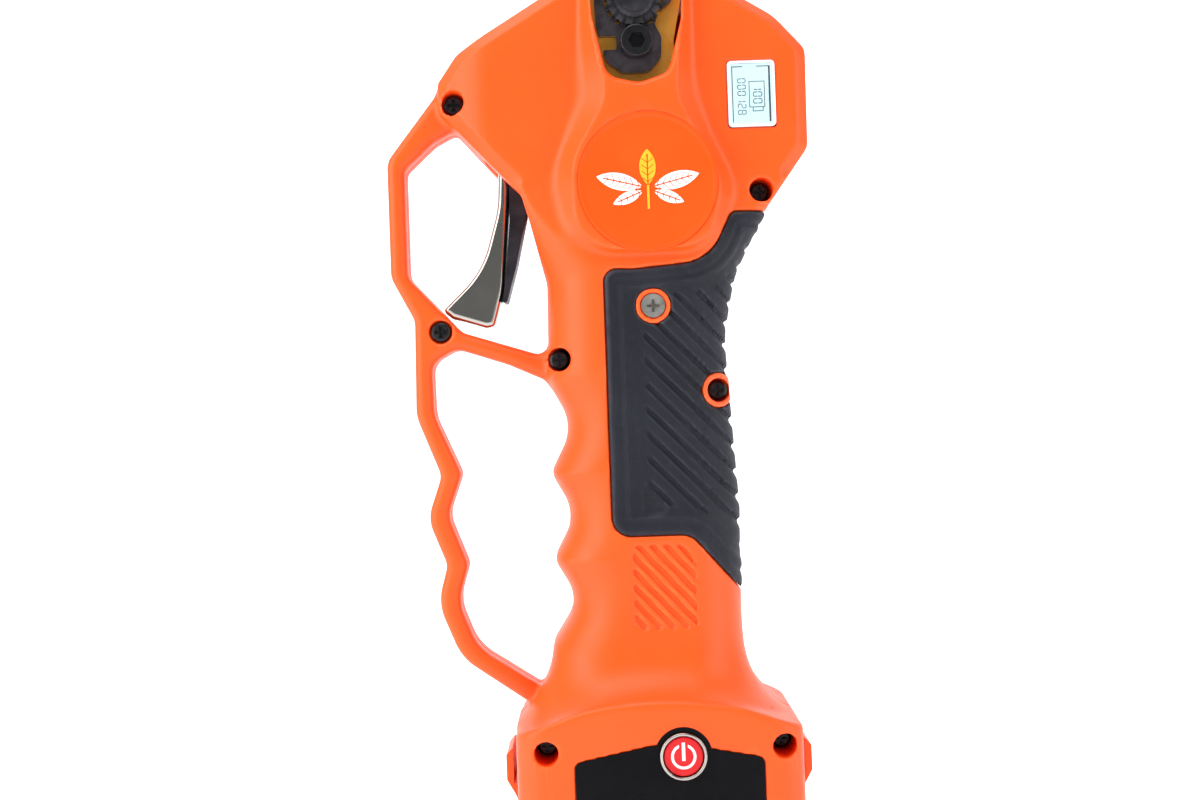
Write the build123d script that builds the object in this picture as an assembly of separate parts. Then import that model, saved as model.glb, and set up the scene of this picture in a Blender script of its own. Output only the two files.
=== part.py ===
from build123d import *
import math
import os

# Battery electric pruner, in millimetres.
# Origin: centre of the battery's flat underside. +Z runs up to the blades, -Y is the
# front face with the display and the power button, -X is the trigger side.

# ---------------------------------------------------------------- driving dimensions
BASE_W = 77.4            # base, left to right
BASE_D = 64.0            # base, front to back
BASE_R = 9.0             # base corner radius
COVER_H = 14.4           # battery cover height
SKIRT_Z = 15.0           # lower rim of the housing
BAY_TOP = 48.5           # underside of the bay's ceiling
BAY_FLOOR_T = 2.0        # ceiling thickness
SHOULDER_Z = 60.0        # where the base starts to narrow
NOTCH_X = 33.9           # depth of the side notches, clear of a pressed release button
NOTCH_Y = 13.5           # half width of the side notches
NOTCH_Z = 45.5           # top of the side notches
WALL = 2.4               # housing wall
HANDLE_WALL = 3.4        # handle wall, thicker because the rubber pads sit in it
HANDLE_D = 42.0          # handle, front to back
HANDLE_R = 17.0          # handle corner radius
HANDLE_X0 = -28.6        # handle tube, left edge
HANDLE_X1 = 25.2         # handle tube, right edge
CHEEK_D = 35.0           # head cheeks, front to back
SPINE_D = 47.0           # raised middle of the head
GUARD_D = 13.0           # guard bars, front to back
PARTING = 0.0            # plane where the two housings meet
PAD_T = 2.0              # rubber pad thickness
FIT = 0.05               # radial running clearance

DRIVE_Y = 3.0            # motor and gear axis, behind the parting plane
PIVOT_Z = 257.0          # blade pivot above the base
BLADE_OPEN = 42.0        # blade opening in the rest pose, degrees
TRIGGER_X = -36.5        # trigger pivot
TRIGGER_Z = 221.0
BUTTON_X = 5.8           # power button centre
BUTTON_Z = 55.1
BUTTON_R = 5.2

NUT_TEETH = 15
SECTOR_SCREW_R = 11.2    # screw circle of the bevel sector
SECTOR_SCREWS = (-136.0, -111.0, -88.0)   # places round the pivot, degrees
LIP_GAP = 1.3            # release button lip, clear of the housing wall
LIP_Y = 10.0             # half width of the lip
SPRING_Z = 42.2          # height of the release springs
BEVEL_M = 1.0            # bevel module at the outer end
BEVEL_WHEEL = 36         # teeth of the full wheel that the sector is cut from
BEVEL_PINION = 10
BEVEL_FACE = 5.0         # tooth length
SUN_T = 12
PLANET_T = 15
RING_T = 42
GEAR_M = 0.6
MOTOR_R = 14.0
GEARBOX_R = 15.9
SHAFT_R = 3.0            # output shaft
MOTOR_SHAFT_R = 1.6
BOLT_R = 4.0             # pivot bolt
SCREW_R = 1.4            # housing screws
CELL_R = 9.1
TERMINALS = (-12.0, -4.0, 4.0, 12.0)
CELL_L = 64.8

# Stack at the pivot, front to back (Y)
NUT_Y = -19.6
LOCK_Y = -16.8
FRAME_Y = -14.2
HOOK_Y = -11.4
SHEAR_Y = -9.1
BLADE_Y = -9.0
SECTOR_Y = -5.5
SECTOR_BACK = -3.2

# Stack along the drive axis (Z)
MOTOR_Z0 = 136.0
MOTOR_Z1 = 184.0
GEARBOX_Z0 = 187.0
GEARBOX_Z1 = 214.0
RING_Z0 = 191.0
RING_Z1 = 201.0
CARRIER_Z0 = 201.3
CARRIER_Z1 = 205.3
FRAME_Z0 = 214.1

# Housing screws: (x, z, front face of the head)
GUARD_SCREWS = [(-50.2, 231.2, -9.0), (-56.2, 169.2, -5.9), (-23.5, 160.3, -8.0)]
DEEP_SCREWS = [(19.5, 150.5, -9.0), (32.7, 204.1, -11.0), (-30.1, 56.6, -20.0), (32.6, 56.6, -20.0)]
PAD_SCREW = (2.3, 173.7)
BADGE = (2.0, 206.7, 18.5)
LCD = (24.5, 37.4, 221.2, 239.1)
LCD_RIM = 0.75

# ---------------------------------------------------------------- outlines (x, z, corner radius)
BODY = [
    (-13.0, 266.0, 2), (-49.0, 244.4, 6), (-54.6, 237.0, 4), (-54.0, 229.0, 3), (-49.2, 223.6, 2),
    (-40.0, 213.4, 2), (-32.4, 205.8, 5), (-30.0, 197.0, 10), (-26.3, 181.0, 12), (-26.8, 154.0, 4),
    (-20.5, 142.0, 12), (-27.0, 129.3, 4), (-20.5, 117.5, 14), (-27.0, 105.5, 4), (-20.3, 94.0, 14),
    (-27.4, 82.0, 4), (-28.6, 64.0, 0), (27.0, 64.0, 0), (23.9, 80.0, 20), (24.9, 118.0, 40),
    (22.3, 165.0, 30), (25.6, 181.5, 30), (34.2, 199.4, 20), (46.0, 215.6, 4), (46.2, 242.4, 4),
    (38.0, 251.6, 20), (14.5, 266.0, 2),
]
SPINE = [
    (-14.0, 268.0, 1), (-17.6, 240.0, 12), (-18.4, 229.0, 10), (-25.5, 208.0, 10), (-25.0, 196.0, 6),
    (22.0, 196.0, 6), (29.0, 203.0, 6), (19.5, 222.5, 12), (16.6, 240.0, 12), (15.4, 268.0, 1),
]
GUARD = [
    (-20.0, 244.0, 0), (-47.0, 244.0, 3), (-54.6, 236.0, 4), (-69.6, 217.0, 6), (-69.6, 184.6, 7),
    (-63.4, 172.6, 6), (-63.9, 146.0, 12), (-57.5, 129.3, 5), (-61.7, 117.5, 10), (-56.7, 104.5, 5),
    (-59.7, 94.0, 14), (-53.6, 78.6, 16), (-35.0, 65.6, 3), (-34.0, 61.5, 0), (-20.0, 61.5, 0),
]
TRIGGER_HOLE = [
    (-20.0, 225.2, 0), (-49.8, 225.2, 3), (-56.5, 221.7, 3), (-64.8, 214.2, 3), (-64.8, 184.6, 4),
    (-50.6, 169.0, 6), (-29.5, 162.2, 3), (-20.0, 166.0, 0),
]
KNUCKLE_HOLE = [
    (-20.0, 150.0, 0), (-28.0, 155.0, 6), (-38.0, 159.6, 10), (-52.0, 164.4, 5), (-59.0, 160.6, 5),
    (-58.8, 146.0, 12), (-51.8, 129.7, 4), (-56.0, 118.3, 8), (-50.8, 104.4, 4), (-53.9, 94.3, 12),
    (-49.0, 81.5, 14), (-31.0, 69.6, 3), (-20.0, 74.0, 0),
]
WINDOW = [
    (-12.6, 272.0, 0), (-11.6, 252.0, 4), (-8.0, 235.5, 5), (0.7, 233.4, 6), (8.6, 236.0, 4),
    (12.4, 250.0, 6), (13.8, 272.0, 0),
]
PAD = [
    (40.0, 198.2, 0), (24.2, 198.2, 2), (17.5, 184.2, 8), (-3.2, 183.7, 3), (-10.7, 184.2, 5),
    (-10.6, 112.2, 5), (10.4, 112.0, 3), (24.0, 96.0, 0), (40.0, 96.0, 0),
]
PANEL = [(-5.5, 86.8, 1), (-5.5, 109.3, 1), (9.5, 109.3, 3), (11.2, 103.0, 2), (11.2, 86.8, 1)]
LABEL = [(-22.6, 28.0, 2), (-22.6, 54.0, 2), (2.0, 58.8, 30), (27.0, 54.0, 2), (27.0, 28.0, 2)]
LEVER = [
    (-39.0, 216.0, 2), (-40.2, 200.0, 30), (-46.0, 184.0, 20), (-55.6, 175.4, 1), (-52.8, 172.6, 1),
    (-43.5, 169.6, 1), (-41.0, 170.2, 1), (-38.2, 180.0, 20), (-36.2, 200.0, 20), (-36.0, 217.0, 1),
]
BACKING = [
    (-35.9, 214.0, 0.5), (-36.1, 200.0, 20), (-38.1, 180.0, 20), (-39.0, 176.9, 0.5), (-37.6, 176.7, 0.5),
    (-34.6, 187.0, 20), (-31.4, 201.0, 10), (-30.6, 214.0, 1),
]
# Blades, closed, about the pivot
LOCK_PLATE = [
    (-10.9, 262.0, 1), (-10.4, 250.0, 8), (-9.7, 247.2, 0.6), (-5.0, 247.2, 0.6), (-5.0, 243.4, 0.6),
    (-8.9, 243.4, 0.6), (-7.6, 240.0, 3), (-3.6, 237.0, 3), (3.4, 236.9, 4), (7.0, 241.0, 4), (7.2, 246.6, 3),
    (5.4, 250.0, 2), (6.6, 253.0, 2), (10.6, 256.6, 4), (11.3, 262.0, 1),
]
BLADE = [
    (-7.6, -6.0, 3), (-8.8, 14.0, 20), (-9.2, 34.0, 60), (-7.4, 56.0, 40), (-2.0, 76.0, 1),
    (4.0, 66.0, 30), (10.6, 42.0, 60), (12.6, 16.0, 30), (10.6, -4.0, 3),
]
HOOK = [
    (-10.5, -8.0, 6), (-13.5, 6.0, 16), (-17.5, 28.0, 40), (-15.5, 52.0, 40), (-4.5, 77.5, 3),
    (0.8, 79.0, 1), (-5.8, 58.0, 60), (-7.8, 32.0, 60), (-5.4, 10.0, 8), (7.0, 9.0, 6),
    (8.8, -8.0, 4), (5.0, -18.0, 4), (-4.6, -18.0, 4),
]
FRAME_PLATE = [
    (-10.6, 220.0, 1), (-10.6, 246.0, 4), (-13.0, 258.0, 6), (-10.5, 269.0, 6), (10.5, 269.0, 6),
    (13.0, 258.0, 6), (10.6, 246.0, 4), (10.6, 220.0, 1),
]


# ---------------------------------------------------------------- helpers
def rounded_corner(before, corner, after, radius):
    """Start, middle and end of the arc that rounds one corner."""
    into = (Vector(*before) - Vector(*corner))
    away = (Vector(*after) - Vector(*corner))
    half = math.radians(into.get_angle(away)) / 2
    room = 0.48 * min(into.length, away.length)
    reach = min(radius / math.tan(half), room)
    radius = reach * math.tan(half)
    into = into.normalized()
    away = away.normalized()
    middle = (into + away).normalized() * (radius / math.sin(half) - radius)
    corner = Vector(*corner)
    return corner + into * reach, corner + middle, corner + away * reach


def outline(corners):
    """Closed face through corners (x, z, radius), each rounded as far as its two sides allow."""
    edges = []
    ends = []
    count = len(corners)
    for index, (x, z, radius) in enumerate(corners):
        before = corners[index - 1][:2]
        after = corners[(index + 1) % count][:2]
        if radius > 0:
            start, middle, end = rounded_corner(before, (x, z), after, radius)
            edges.append(ThreePointArc(start, middle, end))
        else:
            start = end = Vector(x, z)
        ends.append((start, end))
    for index in range(count):
        edges.append(Line(ends[index - 1][1], ends[index][0]))
    return make_face(edges)


def slab(sketch, y_front, y_back):
    """An XZ sketch made solid between two Y planes."""
    plane = Plane(origin=(0, y_back, 0), x_dir=(1, 0, 0), z_dir=(0, -1, 0))
    return extrude(plane * sketch, amount=y_back - y_front)


def rod_y(x, z, radius, y_front, y_back):
    """Cylinder along Y."""
    return slab(Pos(x, z) * Circle(radius), y_front, y_back)


def rod_z(radius, z0, z1, x=0.0, y=DRIVE_Y):
    """Cylinder along Z, on the drive axis unless placed elsewhere."""
    return Pos(x, y, z0) * extrude(Circle(radius), amount=z1 - z0)


def ring_z(outer, inner, z0, z1, x=0.0, y=DRIVE_Y):
    return rod_z(outer, z0, z1, x, y) - rod_z(inner, z0 - 1, z1 + 1, x, y)


def ring_y(x, z, outer, inner, y_front, y_back):
    return rod_y(x, z, outer, y_front, y_back) - rod_y(x, z, inner, y_front - 1, y_back + 1)


def block(x0, x1, y0, y1, z0, z1):
    return Pos((x0 + x1) / 2, (y0 + y1) / 2, (z0 + z1) / 2) * Box(x1 - x0, y1 - y0, z1 - z0)


def rounded_box(width, depth, radius, z0, z1):
    """Box with rounded vertical edges, centred on the Z axis."""
    return Pos(0, 0, z0) * extrude(RectangleRounded(width, depth, radius), amount=z1 - z0)


def at_pivot(shape, angle=0.0):
    """Place a shape drawn about the pivot; angle turns it towards +X."""
    return Pos(0, 0, PIVOT_Z) * Rot(0, angle, 0) * shape


# ---------------------------------------------------------------- housing
def handle_tube(shrink=0.0):
    width = HANDLE_X1 - HANDLE_X0 - 2 * shrink
    middle = (HANDLE_X0 + HANDLE_X1) / 2
    section = RectangleRounded(width, HANDLE_D - 2 * shrink, HANDLE_R - shrink)
    return Pos(middle, 0, 70) * extrude(section, amount=134)


def flare(shrink=0.0):
    """Shoulder that widens the handle into the base."""
    steps = [
        (SHOULDER_Z, -BASE_W / 2, BASE_W / 2, BASE_D, BASE_R),
        (63.0, -35.6, 34.4, 57.0, 10.0),
        (67.5, -30.8, 28.4, 49.0, 13.0),
        (74.0, -28.6, 25.2, 43.5, 16.0),
        (80.0, -27.6, 24.4, HANDLE_D, 16.5),
    ]
    faces = []
    for z, x0, x1, depth, radius in steps:
        section = RectangleRounded(x1 - x0 - 2 * shrink, depth - 2 * shrink, radius - shrink)
        faces.append(Pos((x0 + x1) / 2, 0, z - shrink / 2) * section)
    return loft(faces, ruled=True)


def outer_body():
    body = outline(BODY)
    handle_part = slab(body, -HANDLE_D / 2, HANDLE_D / 2) & handle_tube()
    head = slab(body, -CHEEK_D / 2, CHEEK_D / 2) & block(-80, 80, -40, 40, 196, 300)
    spine = slab(outline(SPINE), -SPINE_D / 2, SPINE_D / 2)
    guard = slab(outline(GUARD), -GUARD_D / 2, GUARD_D / 2)
    guard -= slab(outline(TRIGGER_HOLE), -GUARD_D, GUARD_D)
    guard -= slab(outline(KNUCKLE_HOLE), -GUARD_D, GUARD_D)
    base = rounded_box(BASE_W, BASE_D, BASE_R, SKIRT_Z, SHOULDER_Z)
    return handle_part + flare() + base + head + spine + guard


def screw_bosses():
    bosses = []
    for x, z, _ in DEEP_SCREWS + GUARD_SCREWS[:1]:
        bosses.append(rod_y(x, z, 5.0, -40, 40))
    return bosses


def inner_space():
    """Everything hollow inside the two housings."""
    body = offset(outline(BODY), amount=-WALL)
    deep = offset(outline(BODY), amount=-HANDLE_WALL)
    handle_space = slab(deep, -HANDLE_D / 2 + HANDLE_WALL, HANDLE_D / 2 - HANDLE_WALL)
    handle_space &= handle_tube(HANDLE_WALL)
    head_space = slab(body, -CHEEK_D / 2 + WALL, CHEEK_D / 2 - WALL) & block(-80, 80, -40, 40, 198, 300)
    spine_space = slab(offset(outline(SPINE), amount=-WALL), -SPINE_D / 2 + WALL, SPINE_D / 2 - WALL)
    space = handle_space + head_space + spine_space
    space += flare(WALL) & block(-50, 50, -40, 40, BAY_TOP + BAY_FLOOR_T, 90)
    neck_w = BASE_W - 2 * WALL
    neck_d = BASE_D - 2 * WALL
    space += rounded_box(neck_w, neck_d, BASE_R - WALL, BAY_TOP + BAY_FLOOR_T, SHOULDER_Z - 1)
    for rib_z in (80.0, 131.0, 178.0):
        rib = block(-50, 50, -40, 40, rib_z, rib_z + 2.0)
        space -= rib - rod_z(MOTOR_R + FIT, rib_z - 1, rib_z + 3)
    for boss in screw_bosses():
        space -= boss
    space += rod_z(MOTOR_R + FIT, MOTOR_Z0 - 6, GEARBOX_Z0)
    space += rod_z(GEARBOX_R + FIT, GEARBOX_Z0, FRAME_Z0 + 4)
    bay_w = BASE_W - 2 * WALL
    space += rounded_box(bay_w, BASE_D - 2 * WALL, BASE_R - WALL, SKIRT_Z - 1, BAY_TOP)
    space += block(-21, 21, 1, 23, BAY_TOP - 1, BAY_TOP + BAY_FLOOR_T + 1)
    return space


def openings_for_parts():
    """Cuts through the housing wall for the trigger, blades, window and release buttons."""
    cuts = [
        slab(outline(WINDOW), -30, 0),
        block(-42.5, -24.6, -5.9, 5.9, 181, 218),
        block(-14.5, 14.5, -15.0, 0.4, 248, 275),
        block(10, 26, BLADE_Y - 0.9, SECTOR_Y + 0.9, 250, 275),
        block(-BASE_W, -NOTCH_X, -NOTCH_Y, NOTCH_Y, SKIRT_Z - 1, NOTCH_Z),
        block(NOTCH_X, BASE_W, -NOTCH_Y, NOTCH_Y, SKIRT_Z - 1, NOTCH_Z),
        rod_y(BUTTON_X, BUTTON_Z, 6.2, -40, -BASE_D / 2 + 6),
        slab(lcd_outline(0.0), -30, 0),
    ]
    return cuts


def surface_recesses():
    """Shallow recesses on the front and back faces."""
    x, z, radius = BADGE
    recesses = [
        rod_y(x, z, radius, -SPINE_D / 2 - 1, -SPINE_D / 2 + 0.9),
        slab(offset(outline(LABEL), amount=0.1), -BASE_D / 2 - 1, -BASE_D / 2 + 0.8),
        slab(outline(PANEL), -HANDLE_D / 2 - 1, -HANDLE_D / 2 + 0.7),
    ]
    return recesses


def screw_cuts():
    """Wells for the heads in the front half, clearance and thread holes below them."""
    cuts = []
    for x, z, head_y in GUARD_SCREWS + DEEP_SCREWS:
        cuts.append(rod_y(x, z, 3.2, -40, head_y + 2.0))
        cuts.append(rod_y(x, z, SCREW_R + 0.2, -40, PARTING))
        cuts.append(rod_y(x, z, SCREW_R, PARTING, 5.0))
    x, z = PAD_SCREW
    cuts.append(rod_y(x, z, 3.3, -40, -19.4))
    cuts.append(rod_y(x, z, SCREW_R, -40, -10))
    return cuts


def pad_region(body, shrink=0.0):
    """Shell under the pad outline, PAD_T deep below the handle's surface."""
    prism = slab(offset(outline(PAD), amount=-shrink) if shrink else outline(PAD), -40, 40)
    core = slab(offset(outline(BODY), amount=-PAD_T - 0.2), -40, 40) & handle_tube(PAD_T)
    return (prism & body) - core


def housings():
    """Front and rear halves and the two rubber pads."""
    body = outer_body()
    pads = pad_region(body)
    x, z = PAD_SCREW
    for cx, cz in (PAD_SCREW, DEEP_SCREWS[0][:2]):
        pads -= rod_y(cx, cz, 4.75, -40, 0)
    shell = body - pads - inner_space()
    rim = rod_y(x, z, 4.0, -21.0, -12.0) & body
    shell += rim
    for cut in openings_for_parts() + surface_recesses() + screw_cuts():
        shell -= cut
    front_half = block(-120, 120, -60, PARTING, -10, 320)
    rear_half = block(-120, 120, PARTING, 60, -10, 320)
    front = largest(shell & front_half)
    rear = largest(shell & rear_half)
    front_pad = largest(pads & front_half)
    rear_pad = largest(pads & rear_half)
    return front, rear, front_pad, rear_pad


def largest(shape):
    """The biggest solid of a cut, without stray slivers."""
    return max(shape.solids(), key=lambda solid: solid.volume)


# ---------------------------------------------------------------- gears
def involute_points(teeth, module, addendum, dedendum, thin, phase=0.0):
    """Closed outline of an external spur gear; thin is taken off each tooth's thickness."""
    pitch = teeth * module / 2
    base = pitch * math.cos(math.radians(20))
    root = pitch - dedendum * module
    tip = pitch + addendum * module
    alpha = math.radians(20)
    half = math.pi / (2 * teeth) - thin / (2 * pitch) + math.tan(alpha) - alpha
    flank = []
    start = max(base, root)
    for step in range(6):
        radius = start + (tip - start) * step / 5
        roll = math.acos(min(1.0, base / radius))
        flank.append((radius, half - (math.tan(roll) - roll)))
    points = []
    for tooth in range(teeth):
        centre = phase + 2 * math.pi * tooth / teeth
        points.append((root, centre - flank[0][1]))
        points += [(radius, centre - angle) for radius, angle in flank]
        points += [(radius, centre + angle) for radius, angle in reversed(flank)]
        points.append((root, centre + flank[0][1]))
    unique = []
    for radius, angle in points:
        point = (radius * math.cos(angle), radius * math.sin(angle))
        if not unique or math.dist(point, unique[-1]) > 1e-3:
            unique.append(point)
    return unique


def spur(teeth, z0, z1, bore, phase, addendum=0.85, dedendum=1.15, thin=0.08):
    face = Polygon(*involute_points(teeth, GEAR_M, addendum, dedendum, thin, phase), align=None)
    face -= Circle(bore)
    return Pos(0, 0, z0) * extrude(face, amount=z1 - z0)


PLANET_ANGLES = (90.0, 210.0, 330.0)
PLANET_ORBIT = (SUN_T + PLANET_T) * GEAR_M / 2


def sun_gear():
    phase = math.radians(PLANET_ANGLES[0])
    return Pos(0, DRIVE_Y, 0) * spur(SUN_T, 192.0, 200.0, MOTOR_SHAFT_R, phase)


def planet_gear(angle):
    turn = math.radians(angle)
    gear = spur(PLANET_T, 192.2, 200.0, 1.5 + FIT, turn)
    return Pos(PLANET_ORBIT * math.cos(turn), DRIVE_Y + PLANET_ORBIT * math.sin(turn), 0) * gear


def ring_gear():
    """Internal gear: the hole is an external gear whose teeth are the ring's gaps."""
    phase = math.radians(PLANET_ANGLES[0])
    hole = Polygon(*involute_points(RING_T, GEAR_M, 1.15, 0.7, -0.08, phase), align=None)
    face = Circle(GEARBOX_R - 1.5) - hole
    return Pos(0, DRIVE_Y, RING_Z0) * extrude(face, amount=RING_Z1 - RING_Z0)


def bevel_tooth_wheel(radius):
    """Wheel tooth section at one distance from the pivot, as points (x, y, z) below it."""
    scale = radius / (BEVEL_WHEEL * BEVEL_M / 2)
    pitch_y = DRIVE_Y - BEVEL_PINION * BEVEL_M / 2 * scale
    half = (math.pi * BEVEL_M / 4 - 0.16) * scale
    up = 0.6 * BEVEL_M * scale
    down = pitch_y - SECTOR_BACK + 0.4
    slope = math.tan(math.radians(20))
    lean = 5.0 / 18.68
    corners = [(-half - down * slope, -down), (half + down * slope, -down),
               (half - up * slope, up), (-half + up * slope, up)]
    return [(x, pitch_y + h * 0.963, -radius - max(h, 0.0) * lean) for x, h in corners]


def solid_between(first, second):
    """Straight-sided solid between two polygons with the same number of corners."""
    faces = [make_face(Polyline(*section, close=True)) for section in (first, second)]
    return loft(faces, ruled=True)


def bevel_sector():
    """Toothed ring segment on the blade's tail, in the rest pose."""
    outer = BEVEL_WHEEL * BEVEL_M / 2 + 0.6
    inner = BEVEL_WHEEL * BEVEL_M / 2 - BEVEL_FACE
    plate = rod_y(0, 0, outer, SECTOR_Y, SECTOR_BACK) - rod_y(0, 0, 9.4, -20, 20)
    step = 360.0 / BEVEL_WHEEL
    teeth_before = math.ceil(BLADE_OPEN / step) + 1
    span_low = -(teeth_before + 0.5) * step
    span_high = 1.5 * step
    tooth = solid_between(bevel_tooth_wheel(outer), bevel_tooth_wheel(inner - 0.3))
    cone_tip = DRIVE_Y - 5.0
    rim = ring_y(0, 0, outer + 1, inner - 0.3, SECTOR_Y - 1, cone_tip + 4)
    tooth &= rim
    reach = 60.0
    low = math.radians(-90 + span_low)
    high = math.radians(-90 + span_high)
    wedge = Polygon(
        (0, 0), (reach * math.cos(low), reach * math.sin(low)),
        (reach * math.cos((low + high) / 2), reach * math.sin((low + high) / 2)),
        (reach * math.cos(high), reach * math.sin(high)), align=None)
    sector = plate & slab(wedge, -20, 20)
    for index in range(-teeth_before, 2):
        sector += Rot(0, -index * step, 0) * tooth
    for angle in SECTOR_SCREWS:
        x, z = SECTOR_SCREW_R * math.cos(math.radians(angle)), SECTOR_SCREW_R * math.sin(math.radians(angle))
        sector -= rod_y(x, z, 0.9, -20, 0)
    return at_pivot(sector)


def sector_screws():
    screws = []
    for angle in SECTOR_SCREWS:
        x, z = SECTOR_SCREW_R * math.cos(math.radians(angle)), SECTOR_SCREW_R * math.sin(math.radians(angle))
        screw = rod_y(x, z, 0.9, BLADE_Y + 0.4, SECTOR_BACK) + rod_y(x, z, 1.5, SECTOR_BACK, SECTOR_BACK + 0.9)
        screws.append(at_pivot(screw))
    return Compound(children=screws)


def bevel_pinion():
    """Ten-tooth pinion: each tooth is a loft between sections scaled towards the pivot."""
    low_z = PIVOT_Z - BEVEL_WHEEL * BEVEL_M / 2 - 0.3
    high_z = PIVOT_Z - BEVEL_WHEEL * BEVEL_M / 2 + BEVEL_FACE
    sections = []
    for z in (low_z, high_z):
        scale = (PIVOT_Z - z) / (BEVEL_WHEEL * BEVEL_M / 2)
        phase = math.radians(-90 + 180.0 / BEVEL_PINION)
        points = involute_points(BEVEL_PINION, BEVEL_M * scale, 0.8, 1.0, 0.44 * scale, phase)
        sections.append(Pos(0, DRIVE_Y, z) * make_face(Polyline(*[(x, y, 0) for x, y in points], close=True)))
    gear = loft(sections, ruled=True)
    gear += rod_z(4.0, low_z - 2.5, low_z)
    return gear - rod_z(SHAFT_R - 0.6, low_z - 10, high_z + 10)


# ---------------------------------------------------------------- drive train
def output_shaft():
    pinion_low = PIVOT_Z - BEVEL_WHEEL * BEVEL_M / 2 - 2.8
    return rod_z(SHAFT_R, CARRIER_Z0, pinion_low) + rod_z(SHAFT_R - 0.6, pinion_low, pinion_low + 7.6)


def planet_carrier():
    carrier = rod_z(12.4, CARRIER_Z0, CARRIER_Z1) - rod_z(SHAFT_R, CARRIER_Z0 - 1, CARRIER_Z1 + 1)
    for angle in PLANET_ANGLES:
        carrier += planet_pin(angle)
    return carrier


def planet_pin(angle):
    turn = math.radians(angle)
    x = PLANET_ORBIT * math.cos(turn)
    y = DRIVE_Y + PLANET_ORBIT * math.sin(turn)
    return rod_z(1.5, 191.8, CARRIER_Z1 - 0.2, x, y)


def bearing(outer, inner, z0, z1):
    """Sealed ball bearing as one closed ring with a shallow shield groove at each end."""
    middle = (outer + inner) / 2
    groove = (outer - inner) / 5
    race = ring_z(outer, inner, z0, z1)
    race -= ring_z(middle + groove, middle - groove, z1 - 0.3, z1 + 1)
    return race - ring_z(middle + groove, middle - groove, z0 - 1, z0 + 0.3)


def gearbox_housing():
    body = rod_z(GEARBOX_R, GEARBOX_Z0, GEARBOX_Z1)
    body -= rod_z(GEARBOX_R - 1.5, GEARBOX_Z0 + 2, 206.0)
    body -= rod_z(5.0, GEARBOX_Z0 - 1, GEARBOX_Z0 + 3)
    body -= rod_z(7.5, 205.0, 211.0)
    body -= rod_z(4.0, 210.0, GEARBOX_Z1 + 1)
    for x, y in frame_screw_places():
        body -= rod_z(1.25, 209.0, GEARBOX_Z1 + 1, x, y)
    for x, y in motor_screw_places():
        body -= rod_z(1.3, GEARBOX_Z0 - 1, GEARBOX_Z0 + 3, x, y)
    return body


def frame_screw_places():
    return [(12.6 * math.cos(a), DRIVE_Y + 12.6 * math.sin(a))
            for a in (math.radians(20), math.radians(90), math.radians(160), math.radians(270))]


def motor_screw_places():
    return [(8.0, DRIVE_Y), (-8.0, DRIVE_Y)]


def gearbox_screws():
    """Four screws that hold the frame and two that hold the motor on the gearbox."""
    screws = []
    for x, y in motor_screw_places():
        shank = rod_z(1.3, MOTOR_Z1 + 0.2, GEARBOX_Z0 + 2, x, y)
        screws.append(shank + rod_z(2.2, GEARBOX_Z0 + 2, RING_Z0 - 0.4, x, y))
    for x, y in frame_screw_places():
        shank = rod_z(1.25, GEARBOX_Z1 - 4.5, FRAME_Z0 + 3.4, x, y)
        screws.append(shank + rod_z(2.3, FRAME_Z0 + 3.4, FRAME_Z0 + 5.4, x, y))
    return Compound(children=screws)


def blade_frame():
    """Golden metal frame: flange on the gearbox, bearing neck and the front plate at the pivot."""
    frame = rod_z(GEARBOX_R, FRAME_Z0, FRAME_Z0 + 3.4)
    frame += rod_z(9.6, FRAME_Z0, 231.0)
    frame += block(-10.6, 10.6, FRAME_Y, DRIVE_Y, 220.0, 231.0)
    frame += slab(outline(FRAME_PLATE), FRAME_Y, HOOK_Y)
    frame -= rod_z(4.0, FRAME_Z0 - 1, 240)
    frame -= rod_z(7.5, 225.0, 240)
    frame -= rod_y(0, PIVOT_Z, BOLT_R, -30, 30)
    frame -= rod_y(0.4, 245.0, 2.5, -30, 30)
    for x, y in frame_screw_places():
        frame -= rod_z(2.6, FRAME_Z0 + 3.4, FRAME_Z0 + 20, x, y)
        frame -= rod_z(1.25, FRAME_Z0 - 1, FRAME_Z0 + 4, x, y)
    return frame


def shaft_bearings():
    """Two bearings on the output shaft and two small ones on the motor shaft."""
    return Compound(children=[
        bearing(7.5, SHAFT_R, 206.0, 211.0),
        bearing(7.5, SHAFT_R, 225.0, 230.0),
        bearing(4.0, MOTOR_SHAFT_R, MOTOR_Z1, GEARBOX_Z0),
        bearing(4.0, MOTOR_SHAFT_R, MOTOR_Z0 - 3, MOTOR_Z0),
    ])


def motor_parts():
    can = ring_z(MOTOR_R, MOTOR_R - 1.4, MOTOR_Z0, MOTOR_Z1)
    can += ring_z(MOTOR_R - 1.4, 11.2, MOTOR_Z0 + 8, MOTOR_Z1 - 10)
    front_cap = ring_z(MOTOR_R, 4.0, MOTOR_Z1, GEARBOX_Z0)
    for x, y in motor_screw_places():
        front_cap -= rod_z(1.3, MOTOR_Z1 - 1, GEARBOX_Z0 + 1, x, y)
    rear_cap = ring_z(MOTOR_R, 4.0, MOTOR_Z0 - 3, MOTOR_Z0)
    rotor = ring_z(10.5, MOTOR_SHAFT_R, MOTOR_Z0 + 8, MOTOR_Z1 - 10)
    for index in range(6):
        turn = math.radians(60 * index)
        rotor -= rod_z(1.6, MOTOR_Z0, MOTOR_Z1, 10.3 * math.cos(turn), DRIVE_Y + 10.3 * math.sin(turn))
    shaft = rod_z(MOTOR_SHAFT_R, MOTOR_Z0 - 4, 200.6)
    return {
        "motor_can": can, "motor_front_cap": front_cap, "motor_rear_cap": rear_cap,
        "rotor": rotor, "motor_shaft": shaft,
    }


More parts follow.
